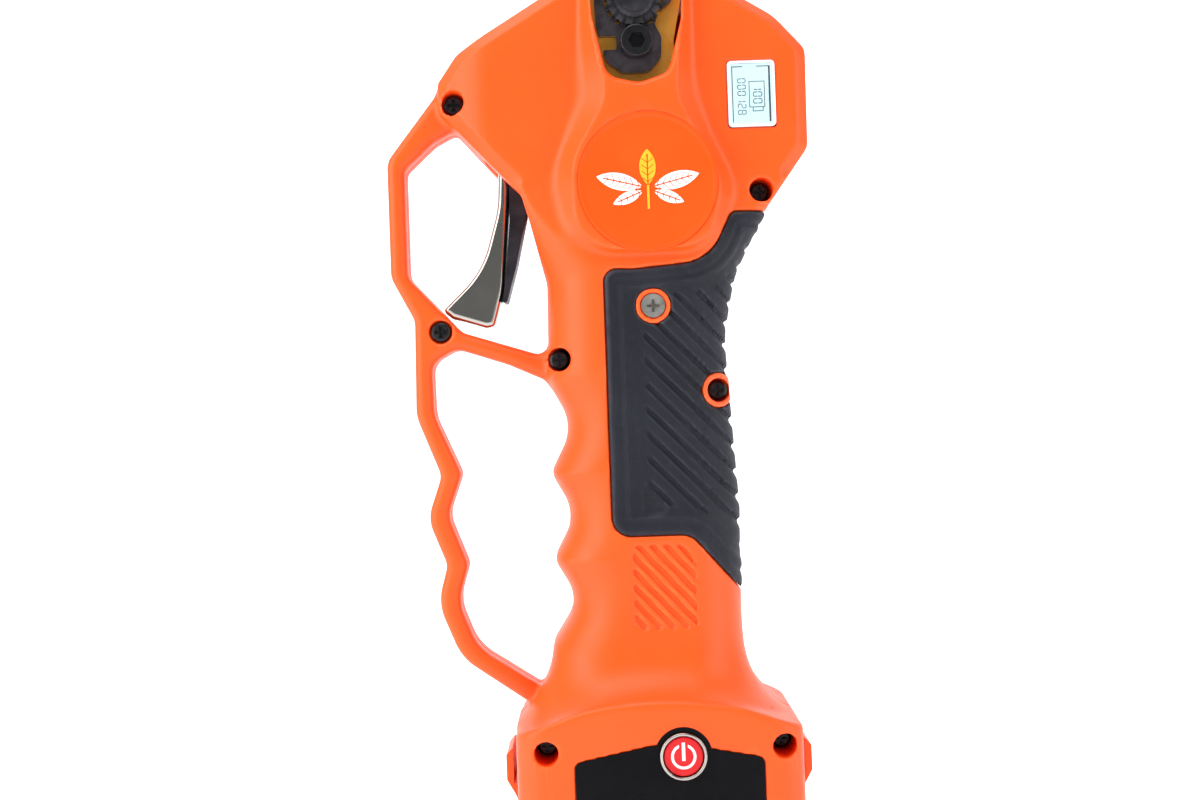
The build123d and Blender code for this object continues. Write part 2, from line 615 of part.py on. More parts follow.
# ---------------------------------------------------------------- blades and pivot
def moving_blade():
    """Cutting blade with the tail that carries the sector, in the open rest pose."""
    blade = slab(outline(BLADE), BLADE_Y, SECTOR_Y)
    blade += rod_y(0, 0, 12.4, BLADE_Y, SECTOR_Y)
    step = 360.0 / BEVEL_WHEEL
    middle = math.radians(-90 + BLADE_OPEN - (math.ceil(BLADE_OPEN / step)) * step / 2)
    half = math.radians((math.ceil(BLADE_OPEN / step) + 3) * step / 2)
    reach = 40.0
    wedge = Polygon(
        (0, 0), (reach * math.cos(middle - half), reach * math.sin(middle - half)),
        (reach * math.cos(middle), reach * math.sin(middle)),
        (reach * math.cos(middle + half), reach * math.sin(middle + half)), align=None)
    blade += rod_y(0, 0, 18.4, BLADE_Y, SECTOR_Y) & slab(wedge, -20, 20)
    blade -= rod_y(0, 0, 5.2, -30, 30)
    bevel = slab(outline([(x - 5.4, z, r) for x, z, r in BLADE[1:5]] + [(-30, 80, 0), (-30, 14, 0)]),
                 BLADE_Y + 1.6, SECTOR_Y + 1)
    blade -= bevel
    placed = at_pivot(blade, BLADE_OPEN)
    for angle in SECTOR_SCREWS:
        x, z = SECTOR_SCREW_R * math.cos(math.radians(angle)), SECTOR_SCREW_R * math.sin(math.radians(angle))
        placed -= at_pivot(rod_y(x, z, 0.9, BLADE_Y + 0.4, 0))
    return placed


def hook_blade():
    hook = slab(outline(HOOK), HOOK_Y, SHEAR_Y)
    hook -= rod_y(0, 0, BOLT_R, -30, 30)
    hook -= rod_y(0.4, 245.0 - PIVOT_Z, 2.5, -30, 30)
    return at_pivot(hook)


def toothed_nut():
    """Round nut with lobed teeth that the lock plate holds."""
    nut = rod_y(0, 0, 8.0, LOCK_Y, FRAME_Y) + rod_y(0, 0, 7.45, NUT_Y + 1.0, LOCK_Y)
    for index in range(NUT_TEETH):
        turn = math.radians(360 / NUT_TEETH * (index + 0.5) - 90)
        nut -= rod_y(8.1 * math.cos(turn), 8.1 * math.sin(turn), 0.95, -30, 30)
    nut += rod_y(0, 0, 5.4, NUT_Y + 0.4, NUT_Y + 1.0)
    nut -= rod_y(0, 0, BOLT_R, -30, 30)
    return at_pivot(nut)


def lock_plate():
    """Plate with a curved slot for its screw and a toothed edge against the nut."""
    plate = slab(outline(LOCK_PLATE), LOCK_Y, FRAME_Y)
    plate -= rod_y(0, PIVOT_Z, 8.15, -30, 30)
    plate -= rod_y(0.4, 245.0, 2.5, -30, 30)
    return plate


def lock_screw():
    screw = rod_y(0.4, 245.0, 2.5, LOCK_Y, SHEAR_Y - 0.3) + rod_y(0.4, 245.0, 4.4, LOCK_Y - 4.4, LOCK_Y)
    socket = slab(Pos(0.4, 245.0) * RegularPolygon(2.3, 6), LOCK_Y - 5, LOCK_Y - 1.8)
    return fillet((screw - socket).edges().filter_by(GeomType.CIRCLE).sort_by(Axis.Y)[0], 0.5)


def pivot_bolt():
    bolt = rod_y(0, 0, 8.0, -4.4, -0.6) + rod_y(0, 0, BOLT_R, NUT_Y, -4.4)
    return at_pivot(bolt)


def pivot_bush():
    return at_pivot(ring_y(0, 0, 5.2, BOLT_R + FIT, BLADE_Y, SECTOR_Y))


def blade_washer():
    return at_pivot(ring_y(0, 0, 8.0, BOLT_R, SECTOR_Y + 0.05, -4.4))


# ---------------------------------------------------------------- trigger
def trigger_lever():
    lever = slab(outline(LEVER), -4.8, 4.8)
    eye = rod_y(TRIGGER_X, TRIGGER_Z, 4.4, -3.0, 3.0)
    arm = block(-39.0, -36.1, -3.0, 3.0, 214, 221)
    return lever + eye + arm - rod_y(TRIGGER_X, TRIGGER_Z, 1.5 + FIT, -10, 10)


def trigger_backing():
    return slab(outline(BACKING), -5.3, 5.3)


def trigger_pin():
    return rod_y(TRIGGER_X, TRIGGER_Z, 1.5, -CHEEK_D / 2 + WALL, CHEEK_D / 2 - WALL)


def trigger_spring():
    """Torsion spring round the pin, with one leg on the lever and one on the housing."""
    coil = Helix(pitch=1.1, height=5.5, radius=2.6)
    wire = Plane(origin=coil @ 0, z_dir=coil % 0) * Circle(0.4)
    spring = Pos(TRIGGER_X, 9.6, TRIGGER_Z) * Rot(90, 0, 0) * sweep(wire, path=coil)
    return spring


def trigger_sensor():
    board = block(-27.0, -25.4, -6.0, 6.0, 218.5, 234.0)
    return board + block(-29.2, -27.0, -1.6, 1.6, 219.5, 223.0)


# ---------------------------------------------------------------- base, battery, electrics
def battery_case():
    half_x = BASE_W / 2 - WALL - 0.6
    half_y = BASE_D / 2 - WALL - 0.6
    case = rounded_box(2 * half_x, 2 * half_y, BASE_R - WALL, COVER_H, 47.5)
    case -= block(-32.4, 32.4, -27.6, 27.6, COVER_H - 1, 46.0)
    for side in (-1, 1):
        pocket_x = sorted((side * 33.9, side * 60))
        case -= block(*pocket_x, -13.9, 13.9, COVER_H - 1, 60)
        tube = Pos(side * 29.2, 0, SPRING_Z) * Rot(0, 90, 0) * Cylinder(3.8, 9.4)
        bore = Pos(side * 30.2, 0, SPRING_Z) * Rot(0, 90, 0) * Cylinder(2.9, 8.4)
        case += tube
        case -= bore
    for x in TERMINALS:
        case -= block(x - 1.6, x + 1.6, 6.0, 18.0, 45, 50)
    for x, y in battery_screw_places():
        case -= rod_z(1.0, COVER_H - 1, 30, x, y)
    return case


def battery_screw_places():
    return [(x, y) for x in (-34.4, 34.4) for y in (-21.0, 21.0)]


def battery_cover():
    cover = rounded_box(BASE_W, BASE_D, BASE_R, 0, COVER_H)
    cover = chamfer(cover.edges().group_by(Axis.Z)[0], 1.6)
    cover -= block(-32.4, 32.4, -27.6, 27.6, 3.2, 20)
    for x, y in battery_screw_places():
        cover -= rod_z(1.95, -1, 6.0, x, y)
        cover -= rod_z(1.0, 5, 20, x, y)
    return cover


def battery_screws():
    screws = []
    for x, y in battery_screw_places():
        screws.append(rod_z(1.0, 6.0, 26.0, x, y) + rod_z(1.85, 4.4, 6.0, x, y))
    return Compound(children=screws)


def cell_places():
    rise = math.sqrt((2 * CELL_R + 0.1) ** 2 - (CELL_R + 0.05) ** 2)
    low = 3.3 + CELL_R
    pitch = 2 * CELL_R + 0.1
    return [(-pitch, low), (0.0, low), (pitch, low), (-pitch / 2, low + rise), (pitch / 2, low + rise)]


def battery_cells():
    cells = []
    for y, z in cell_places():
        can = Rot(0, 90, 0) * Cylinder(CELL_R, CELL_L - 1.0)
        tip = Pos(CELL_L / 2 - 0.25, 0, 0) * Rot(0, 90, 0) * Cylinder(2.8, 0.5)
        cells.append(Pos(-0.25, y, z) * (can + tip))
    return Compound(children=cells)


def battery_board():
    """The pack's board with four spring contacts soldered on it."""
    board = block(-24.0, 24.0, -24.0, 24.0, 38.2, 39.8)
    for x in TERMINALS:
        clip = block(x - 1.5, x + 1.5, 6.4, 17.6, 39.8, 45.6)
        board += clip - block(x - 0.45, x + 0.45, 6.0, 18.0, 40.8, 50)
    return board


def battery_terminals():
    """Terminal block over the bay with four male blades."""
    terminal = block(-20, 20, 2, 22, BAY_TOP + BAY_FLOOR_T, 57.0)
    terminal += block(-17, 17, 4, 20, BAY_TOP + 0.4, BAY_TOP + BAY_FLOOR_T)
    for x in TERMINALS:
        terminal += block(x - 0.4, x + 0.4, 8.0, 16.0, 41.4, BAY_TOP + 1)
    return terminal


def release_button(side):
    """Side button of the pack: a strip in the housing's notch with a ribbed lip that stands off the wall."""
    edge = BASE_W / 2
    button = block(edge - 2.1, edge, -13.0, 13.0, SKIRT_Z + 1.0, NOTCH_Z - 1.0)
    lip = outline([(edge - 0.5, 38.0, 0), (edge - 0.5, 44.5, 0), (edge + LIP_GAP, 44.5, 0),
                   (edge + LIP_GAP, 54.6, 0.3), (edge + 3.2, 52.4, 0.8), (edge + 3.2, 45.6, 1.0),
                   (edge + 0.6, 41.0, 2.0), (edge, 38.0, 0)])
    button += slab(lip, -LIP_Y, LIP_Y)
    for z in (46.4, 48.6, 50.8):
        button -= block(edge + 2.5, edge + 5, -LIP_Y + 1.4, LIP_Y - 1.4, z, z + 1.0)
    button += Pos(edge - 4.4, 0, SPRING_Z) * Rot(0, 90, 0) * Cylinder(1.3, 5.0)
    return button if side > 0 else mirror(button, about=Plane.YZ)


def release_spring(side):
    """Compression spring between the pack and a release button."""
    coil = Helix(pitch=1.5, height=9.4, radius=2.2)
    wire = Plane(origin=coil @ 0, z_dir=coil % 0) * Circle(0.3)
    spring = Pos(26.6, 0, SPRING_Z) * Rot(0, 90, 0) * sweep(wire, path=coil)
    return spring if side > 0 else mirror(spring, about=Plane.YZ)


def power_parts():
    face = -BASE_D / 2
    cap = rod_y(BUTTON_X, BUTTON_Z, BUTTON_R, face - 0.9, face + 2.6)
    cap = fillet(cap.edges().sort_by(Axis.Y)[0], 0.4)
    ring = ring_y(BUTTON_X, BUTTON_Z, 6.2, BUTTON_R + 0.2, face - 1.4, face + 2.2)
    ring = fillet(ring.edges().group_by(Axis.Y)[0], 0.3)
    body = block(BUTTON_X - 5.5, BUTTON_X + 5.5, face + 5.0, face + 12.0, 50.8, 59.4)
    body += rod_y(BUTTON_X, BUTTON_Z, 1.6, face + 3.6, face + 5.0)
    label = slab(outline(LABEL) - Pos(BUTTON_X, BUTTON_Z) * Circle(6.3), face - 0.2, face + 0.8)
    bump = slab((Pos(BUTTON_X, BUTTON_Z) * Circle(7.6)) - (Pos(BUTTON_X, BUTTON_Z) * Circle(6.3)),
                face - 0.2, face)
    return {"power_button": cap, "button_ring": ring, "switch_body": body, "label_plate": label + bump}


def lcd_outline(shrink):
    x0, x1, z0, z1 = LCD[0] + shrink, LCD[1] - shrink, LCD[2] + shrink, LCD[3] - shrink
    radius = max(0.4, 1.2 - shrink)
    return outline([(x0, z0, radius), (x0, z1, radius), (x1, z1, radius), (x1, z0, radius)])


def lcd_parts():
    face = -CHEEK_D / 2
    bezel = slab(lcd_outline(0.05), face - 0.3, face + 2.2) - slab(lcd_outline(LCD_RIM), -30, 0)
    window = slab(lcd_outline(LCD_RIM), face - 0.1, face + 0.7)
    module = slab(lcd_outline(LCD_RIM), face + 0.7, face + 2.2)
    module += slab(lcd_outline(0.2), face + 2.2, face + 3.6)
    return {"lcd_bezel": bezel, "lcd_window": window, "lcd_module": module}


def front_badge():
    x, z, radius = BADGE
    badge = rod_y(x, z, radius - 0.15, -SPINE_D / 2 - 0.3, -SPINE_D / 2 + 0.9)
    return fillet(badge.edges().sort_by(Axis.Y)[0], 0.3)


def countersunk(x, z, head_r, face_y, end_y):
    """Countersunk screw with a cross recess."""
    head = Pos(x, face_y + 0.9, z) * Rot(90, 0, 0) * Cone(SCREW_R, head_r, 1.8)
    screw = head + rod_y(x, z, SCREW_R, face_y + 1.8, end_y)
    for width, height in ((0.7, 3.4), (3.4, 0.7)):
        screw -= slab(Pos(x, z) * Rectangle(width, height), face_y - 1, face_y + 1.1)
    return screw


def pan_screw(x, z, head_y, end_y):
    """Pan head screw with a cross recess."""
    head = rod_y(x, z, 2.8, head_y, head_y + 2.0)
    head = fillet(head.edges().sort_by(Axis.Y)[0], 0.9)
    screw = head + rod_y(x, z, SCREW_R, head_y + 2.0, end_y)
    for width, height in ((0.7, 3.2), (3.2, 0.7)):
        screw -= slab(Pos(x, z) * Rectangle(width, height), head_y - 1, head_y + 1.2)
    return screw


def lead(points, radii, thickness=1.0):
    """Insulated wire along straight runs and tangent arcs."""
    route = FilletPolyline(*points, radius=radii)
    start = Plane(origin=route @ 0, z_dir=route % 0)
    return sweep(start * Circle(thickness), path=route)


def leads():
    power = [
        lead([(side * 8.0, 8.0, 57.0), (side * 8.0, 8.0, 66.0), (side * 6.0, 2.0, 72.0),
              (side * 6.0, 2.0, 88.0)], [4.0, 5.0]) for side in (-1, 1)
    ]
    motor = [rod_z(0.8, 124.0, MOTOR_Z0 - 3, side * 8.0, 9.0) for side in (-1, 0, 1)]
    return Compound(children=power + motor)


def control_parts():
    board = block(-16.0, 16.0, -1.0, 0.6, 84.0, 127.0)
    for x in (-10.0, -3.0, 4.0):
        for z in (110.0, 119.0):
            board += block(x - 2.5, x + 2.5, -3.3, -1.0, z, z + 6.0)
    board += block(-6.0, 6.0, -2.8, -1.0, 94.0, 104.0)
    capacitor = rod_z(5.0, 96.0, 116.0, 7.0, 6.4)
    return {"control_board": board, "board_capacitor": capacitor}


# ---------------------------------------------------------------- assembly
def build_parts():
    front, rear, front_pad, rear_pad = housings()
    parts = {
        "front_housing": front, "rear_housing": rear, "front_grip": front_pad, "rear_grip": rear_pad,
        "front_badge": front_badge(),
        "moving_blade": moving_blade(), "hook_blade": hook_blade(), "blade_frame": blade_frame(),
        "toothed_nut": toothed_nut(), "lock_plate": lock_plate(), "lock_screw": lock_screw(),
        "pivot_bolt": pivot_bolt(), "pivot_bush": pivot_bush(), "blade_washer": blade_washer(),
        "bevel_sector": bevel_sector(), "sector_screws": sector_screws(), "bevel_pinion": bevel_pinion(),
        "output_shaft": output_shaft(), "planet_carrier": planet_carrier(),
        "shaft_bearings": shaft_bearings(),
        "sun_gear": sun_gear(), "ring_gear": ring_gear(), "gearbox_housing": gearbox_housing(),
        "gearbox_screws": gearbox_screws(),
        "trigger_lever": trigger_lever(), "trigger_backing": trigger_backing(),
        "trigger_pin": trigger_pin(),
        "trigger_spring": trigger_spring(), "trigger_sensor": trigger_sensor(),
        "battery_case": battery_case(), "battery_cover": battery_cover(),
        "battery_cells": battery_cells(), "battery_board": battery_board(),
        "battery_terminals": battery_terminals(),
        "battery_screws": battery_screws(),
        "release_button_left": release_button(-1), "release_button_right": release_button(1),
        "release_spring_left": release_spring(-1), "release_spring_right": release_spring(1),
    }
    for index, angle in enumerate(PLANET_ANGLES):
        parts[f"planet_gear_{index + 1}"] = planet_gear(angle)
    parts.update(motor_parts())
    parts.update(power_parts())
    parts.update(lcd_parts())
    parts.update(control_parts())
    parts["leads"] = leads()
    guard_set = [pan_screw(x, z, head_y, 5.0) for x, z, head_y in GUARD_SCREWS]
    deep_set = [pan_screw(x, z, head_y, 5.0) for x, z, head_y in DEEP_SCREWS]
    parts["guard_screws"] = Compound(children=guard_set)
    parts["housing_screws"] = Compound(children=deep_set)
    parts["pad_screw"] = countersunk(*PAD_SCREW, 3.2, -21.2, -12.5)
    return parts


os.makedirs("parts", exist_ok=True)
for node, shape in build_parts().items():
    export_step(shape, f"parts/{node}.step")
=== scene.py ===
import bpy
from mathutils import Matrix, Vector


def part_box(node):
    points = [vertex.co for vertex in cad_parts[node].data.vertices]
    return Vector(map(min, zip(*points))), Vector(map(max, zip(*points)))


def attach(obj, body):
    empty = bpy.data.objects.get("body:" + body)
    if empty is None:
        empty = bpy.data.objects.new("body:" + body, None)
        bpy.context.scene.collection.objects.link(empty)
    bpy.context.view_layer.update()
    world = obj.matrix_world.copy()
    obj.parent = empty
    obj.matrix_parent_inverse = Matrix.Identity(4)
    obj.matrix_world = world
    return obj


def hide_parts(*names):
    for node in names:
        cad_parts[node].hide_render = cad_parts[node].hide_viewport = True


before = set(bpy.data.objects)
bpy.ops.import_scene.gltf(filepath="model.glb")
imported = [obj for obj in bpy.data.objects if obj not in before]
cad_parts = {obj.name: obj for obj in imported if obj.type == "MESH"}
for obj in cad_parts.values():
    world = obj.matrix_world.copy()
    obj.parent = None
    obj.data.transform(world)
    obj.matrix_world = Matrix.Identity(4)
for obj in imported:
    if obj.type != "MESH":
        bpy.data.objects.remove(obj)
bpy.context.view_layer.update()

import math

import bmesh
import bpy
import numpy as np
from mathutils import Matrix, Vector

# Battery electric pruner. Shapes are worked out in millimetres in the part's own frame and
# scaled to metres when a mesh is made. The housings and grips are solids given by distance
# formulas, sampled on a grid and turned into smooth moulded surfaces.
MM = 0.001
GRID = 0.62

# ------------------------------------------------------------------ main dimensions
BASE_W, BASE_D, BASE_R = 77.4, 64.0, 9.0
SKIRT_Z, BAY_TOP, BAY_FLOOR = 15.0, 48.5, 2.0
WALL, HANDLE_WALL = 2.4, 3.4
HANDLE_HALF = 21.0
CHEEK_HALF, SPINE_HALF, GUARD_HALF = 17.5, 23.5, 6.5
DRIVE_Y, PIVOT_Z = 3.0, 257.0
MOTOR_R, GEARBOX_R = 14.1, 16.0
BUTTON_X, BUTTON_Z = 5.8, 55.1
BADGE_X, BADGE_Z, BADGE_R = 2.0, 206.7, 18.5
LCD = (24.5, 37.4, 221.2, 239.1)
PAD_SCREW = (2.3, 173.7)
PAD_WELL = (19.5, 150.5)
COLLAR_R, COLLAR_BACK = 4.7, 6.5
NOTCH_X, NOTCH_Y, NOTCH_Z = 33.9, 13.5, 45.5
GUARD_SCREWS = [(-50.2, 231.2, -9.0), (-56.2, 169.2, -5.9), (-23.5, 160.3, -8.0)]
DEEP_SCREWS = [(19.5, 150.5, -9.0), (32.7, 204.1, -11.0), (-30.1, 56.6, -20.0), (32.6, 56.6, -20.0)]

# ------------------------------------------------------------------ outlines (x, z, corner radius)
BODY = [
    (-13.0, 266.0, 2), (-49.0, 244.4, 6), (-54.6, 237.0, 4), (-54.0, 229.0, 3), (-49.2, 223.6, 2),
    (-40.0, 213.4, 2), (-32.4, 205.8, 5), (-30.0, 197.0, 10), (-26.3, 181.0, 12), (-26.8, 154.0, 4),
    (-20.5, 142.0, 12), (-27.0, 129.3, 4), (-20.5, 117.5, 14), (-27.0, 105.5, 4), (-20.3, 94.0, 14),
    (-27.4, 82.0, 4), (-28.6, 30.0, 0), (24.0, 30.0, 0), (23.9, 80.0, 20), (24.9, 118.0, 40),
    (22.3, 165.0, 30), (25.6, 181.5, 30), (34.2, 199.4, 20), (46.0, 215.6, 4), (46.2, 242.4, 4),
    (38.0, 251.6, 20), (14.5, 266.0, 2),
]
SPINE_OUTER = [
    (-14.0, 280.0, 1), (-16.8, 243.0, 14), (-18.2, 229.0, 12), (-26.0, 207.0, 14), (-26.0, 186.0, 8),
    (24.0, 186.0, 8), (28.6, 203.0, 10), (20.3, 221.5, 14), (16.9, 236.0, 14), (15.4, 280.0, 1),
]
SPINE_INNER = [
    (-12.6, 280.0, 1), (-11.0, 246.0, 10), (-8.0, 230.0, 12), (-18.0, 213.0, 16), (-17.5, 189.0, 12),
    (18.0, 189.0, 12), (21.8, 206.0, 12), (10.4, 229.5, 12), (11.4, 244.0, 10), (13.9, 280.0, 1),
]
BASE_FRONT = [(-38.7, 10.0, 0), (-38.7, 61.0, 2.0), (-18.0, 68.6, 40), (18.0, 68.6, 40), (38.5, 61.0, 2.0),
              (38.7, 10.0, 0)]
GUARD = [
    (-20.0, 244.0, 0), (-47.0, 244.0, 3), (-54.6, 236.0, 4), (-69.6, 217.0, 6), (-69.6, 184.6, 7),
    (-63.4, 172.6, 6), (-63.9, 146.0, 12), (-57.5, 129.3, 5), (-61.7, 117.5, 10), (-56.7, 104.5, 5),
    (-59.7, 94.0, 14), (-53.6, 78.6, 16), (-35.0, 65.6, 3), (-34.0, 61.5, 0), (-20.0, 61.5, 0),
]
TRIGGER_HOLE = [
    (-20.0, 225.2, 0), (-49.8, 225.2, 3), (-56.5, 221.7, 3), (-64.8, 214.2, 3), (-64.8, 184.6, 4),
    (-50.6, 169.0, 6), (-29.5, 162.2, 3), (-20.0, 166.0, 0),
]
KNUCKLE_HOLE = [
    (-20.0, 150.0, 0), (-28.0, 155.0, 6), (-38.0, 159.6, 10), (-52.0, 164.4, 5), (-59.0, 160.6, 5),
    (-58.8, 146.0, 12), (-51.8, 129.7, 4), (-56.0, 118.3, 8), (-50.8, 104.4, 4), (-53.9, 94.3, 12),
    (-49.0, 81.5, 14), (-31.0, 69.6, 3), (-20.0, 74.0, 0),
]
WINDOW = [
    (-12.6, 272.0, 0), (-11.6, 252.0, 4), (-8.0, 235.5, 5), (0.7, 233.4, 6), (8.6, 236.0, 4),
    (12.4, 250.0, 6), (13.8, 272.0, 0),
]
PAD = [
    (45.0, 198.4, 0), (24.2, 198.4, 2), (17.8, 185.4, 14), (-3.0, 183.7, 3), (-10.7, 184.2, 7),
    (-10.6, 112.0, 5), (10.4, 112.0, 6), (24.0, 96.0, 0), (45.0, 96.0, 0),
]
PAD_POCKET = [(-2.2, 127.5, 1), (-2.2, 117.3, 1), (5.2, 118.2, 1)]
PANEL = [(-5.5, 86.8, 1), (-5.5, 109.3, 1), (8.6, 109.3, 4), (11.2, 104.0, 2), (11.2, 86.8, 1)]
LABEL = [(-22.6, 28.0, 2), (-22.6, 54.0, 2), (2.0, 58.8, 30), (27.0, 54.0, 2), (27.0, 28.0, 2)]
LEVER = [
    (-38.6, 222.0, 2), (-39.6, 203.0, 30), (-44.6, 186.0, 26), (-55.9, 175.2, 1.2), (-53.0, 172.8, 1.2),
    (-43.5, 169.7, 1.5), (-41.0, 170.2, 1.5), (-38.3, 180.0, 30), (-36.5, 200.0, 30), (-34.6, 222.0, 2),
]
BLADE = [
    (-7.6, -6.0, 3), (-8.8, 14.0, 20), (-9.2, 34.0, 60), (-7.4, 56.0, 40), (-2.0, 76.0, 1),
    (4.0, 66.0, 30), (10.6, 42.0, 60), (12.6, 16.0, 30), (10.6, -4.0, 3),
]
HOOK = [
    (-10.5, -8.0, 6), (-13.5, 6.0, 16), (-17.5, 28.0, 40), (-15.5, 52.0, 40), (-4.5, 77.5, 3),
    (0.8, 79.0, 1), (-5.8, 58.0, 60), (-7.8, 32.0, 60), (-5.4, 10.0, 8), (7.0, 9.0, 6),
    (8.8, -8.0, 4), (5.0, -18.0, 4), (-4.6, -18.0, 4),
]


# ------------------------------------------------------------------ outline and distance helpers
def rounded(corners, step=0.5):
    """Points of a closed outline whose corners are rounded as far as their sides allow."""
    points = []
    count = len(corners)
    for i, (x, z, radius) in enumerate(corners):
        corner = np.array([x, z], float)
        if radius <= 0:
            points.append(corner)
            continue
        before = np.array(corners[i - 1][:2], float) - corner
        after = np.array(corners[(i + 1) % count][:2], float) - corner
        length_in, length_out = np.linalg.norm(before), np.linalg.norm(after)
        before, after = before / length_in, after / length_out
        half = math.acos(np.clip(before @ after, -1, 1)) / 2
        reach = min(radius / math.tan(half), 0.48 * min(length_in, length_out))
        radius = reach * math.tan(half)
        bisector = (before + after) / np.linalg.norm(before + after)
        centre = corner + bisector * radius / math.sin(half)
        start = corner + before * reach - centre
        sweep = math.pi - 2 * half
        turn = sweep * np.sign(-(before[0] * after[1] - before[1] * after[0]))
        pieces = max(2, int(radius * sweep / step))
        for k in range(pieces + 1):
            a = turn * k / pieces
            c, s = math.cos(a), math.sin(a)
            points.append(centre + np.array([c * start[0] - s * start[1], s * start[0] + c * start[1]]))
    return np.array(points)


def outline_distance(corners, first, second):
    """Signed distance to an outline on a 2-D grid, negative inside."""
    points = rounded(corners)
    nearest = np.full(first.shape, 1e9, np.float32)
    inside = np.zeros(first.shape, bool)
    for a, b in zip(points, np.roll(points, -1, axis=0)):
        edge = b - a
        square = float(edge @ edge)
        if square < 1e-9:
            continue
        px, pz = first - a[0], second - a[1]
        t = np.clip((px * edge[0] + pz * edge[1]) / square, 0, 1)
        nearest = np.minimum(nearest, (px - edge[0] * t) ** 2 + (pz - edge[1] * t) ** 2)
        if abs(edge[1]) > 1e-9:
            crosses = (a[1] <= second) != (b[1] <= second)
            inside ^= crosses & (px < edge[0] * pz / edge[1])
    return np.where(inside, -1, 1) * np.sqrt(nearest)


def smooth_union(a, b, k):
    h = np.clip(0.5 + 0.5 * (b - a) / k, 0, 1)
    return b + (a - b) * h - k * h * (1 - h)


def smooth_common(a, b, k):
    return -smooth_union(-a, -b, k)


def rounded_slab(flat, across, half, radius):
    """Outline made solid to +-half across, with rounded edges."""
    u = flat + radius
    v = np.abs(across) - half + radius
    return np.minimum(np.maximum(u, v), 0) + np.sqrt(np.maximum(u, 0) ** 2 + np.maximum(v, 0) ** 2) - radius


def box_distance(x, y, z, x0, x1, y0, y1, z0, z1):
    dx = np.abs(x - (x0 + x1) / 2) - (x1 - x0) / 2
    dy = np.abs(y - (y0 + y1) / 2) - (y1 - y0) / 2
    dz = np.abs(z - (z0 + z1) / 2) - (z1 - z0) / 2
    return np.maximum(np.maximum(dx, dy), dz)


def rounded_rect(x, y, x0, x1, half, radius):
    u = np.abs(x - (x0 + x1) / 2) - (x1 - x0) / 2 + radius
    v = np.abs(y) - half + radius
    return np.minimum(np.maximum(u, v), 0) + np.sqrt(np.maximum(u, 0) ** 2 + np.maximum(v, 0) ** 2) - radius


def smoothstep(value, low, high):
    t = np.clip((value - low) / (high - low), 0, 1)
    return t * t * (3 - 2 * t)


def rod(first, second, a, b, radius):
    return np.sqrt((first - a) ** 2 + (second - b) ** 2) - radius


# ------------------------------------------------------------------ grid to mesh
EDGES = [(a, b) for a in range(8) for b in range(a + 1, 8) if bin(a ^ b).count("1") == 1]


def surface(values, origin, steps):
    """Smooth surface of a sampled solid (negative inside): one point in each crossed cell."""
    inside = values < 0
    nx, ny, nz = (n - 1 for n in values.shape)
    total = np.zeros((nx, ny, nz), np.uint8)
    for c in range(8):
        i, j, k = c & 1, c >> 1 & 1, c >> 2 & 1
        total += inside[i:nx + i, j:ny + j, k:nz + k]
    cells = np.argwhere((total > 0) & (total < 8))
    corner = [values[cells[:, 0] + (c & 1), cells[:, 1] + (c >> 1 & 1), cells[:, 2] + (c >> 2 & 1)]
              for c in range(8)]
    place = np.zeros((len(cells), 3))
    hits = np.zeros(len(cells))
    for a, b in EDGES:
        cut = (corner[a] < 0) != (corner[b] < 0)
        with np.errstate(divide="ignore", invalid="ignore"):
            t = np.where(cut, corner[a] / (corner[a] - corner[b]), 0)
        start = np.array([a & 1, a >> 1 & 1, a >> 2 & 1])
        along = np.array([b & 1, b >> 1 & 1, b >> 2 & 1]) - start
        place += cut[:, None] * (start + t[:, None] * along)
        hits += cut
    points = (cells + place / hits[:, None]) * np.array(steps) + np.array(origin)
    index = np.full((nx, ny, nz), -1, np.int64)
    index[tuple(cells.T)] = np.arange(len(cells))
    quads = []
    for axis in range(3):
        lower = [slice(None)] * 3
        upper = [slice(None)] * 3
        lower[axis], upper[axis] = slice(None, -1), slice(1, None)
        crossed = np.argwhere(inside[tuple(lower)] != inside[tuple(upper)])
        other = [n for n in range(3) if n != axis]
        limits = np.array([nx, ny, nz])
        keep = np.all([(crossed[:, n] > 0) & (crossed[:, n] < limits[n]) for n in other], axis=0)
        crossed = crossed[keep]
        corners = []
        for du, dv in ((1, 1), (0, 1), (0, 0), (1, 0)):
            cell = crossed.copy()
            cell[:, other[0]] -= du
            cell[:, other[1]] -= dv
            corners.append(index[tuple(cell.T)])
        quad = np.stack(corners, axis=1)
        outward = inside[tuple(crossed.T)]
        if axis == 1:
            outward = ~outward
        quad[~outward] = quad[~outward][:, ::-1]
        quads.append(quad)
    return points, np.concatenate(quads)


def make_object(name, points, faces, smooth=True):
    """Mesh object from points in millimetres."""
    mesh = bpy.data.meshes.new(name)
    mesh.from_pydata((np.asarray(points) * MM).tolist(), [], np.asarray(faces).tolist()
                     if isinstance(faces, np.ndarray) else faces)
    mesh.validate()
    mesh.update()
    if smooth:
        mesh.polygons.foreach_set("use_smooth", [True] * len(mesh.polygons))
    made = bpy.data.objects.new(name, mesh)
    bpy.context.scene.collection.objects.link(made)
    return made


def keep_large_islands(points, quads, least=400):
    """Drop loose crumbs that the grid may leave at thin edges."""
    parent = np.arange(len(points))
    for _ in range(200):
        low = parent[quads].min(axis=1)
        before = parent.copy()
        for n in range(4):
            np.minimum.at(parent, quads[:, n], low)
        parent = parent[parent]
        if np.array_equal(before, parent):
            break
    labels, counts = np.unique(parent[quads[:, 0]], return_counts=True)
    good = set(labels[counts >= least].tolist())
    keep = np.array([label in good for label in parent[quads[:, 0]]])
    quads = quads[keep]
    used = np.unique(quads)
    remap = np.full(len(points), -1)
    remap[used] = np.arange(len(used))
    return points[used], remap[quads]


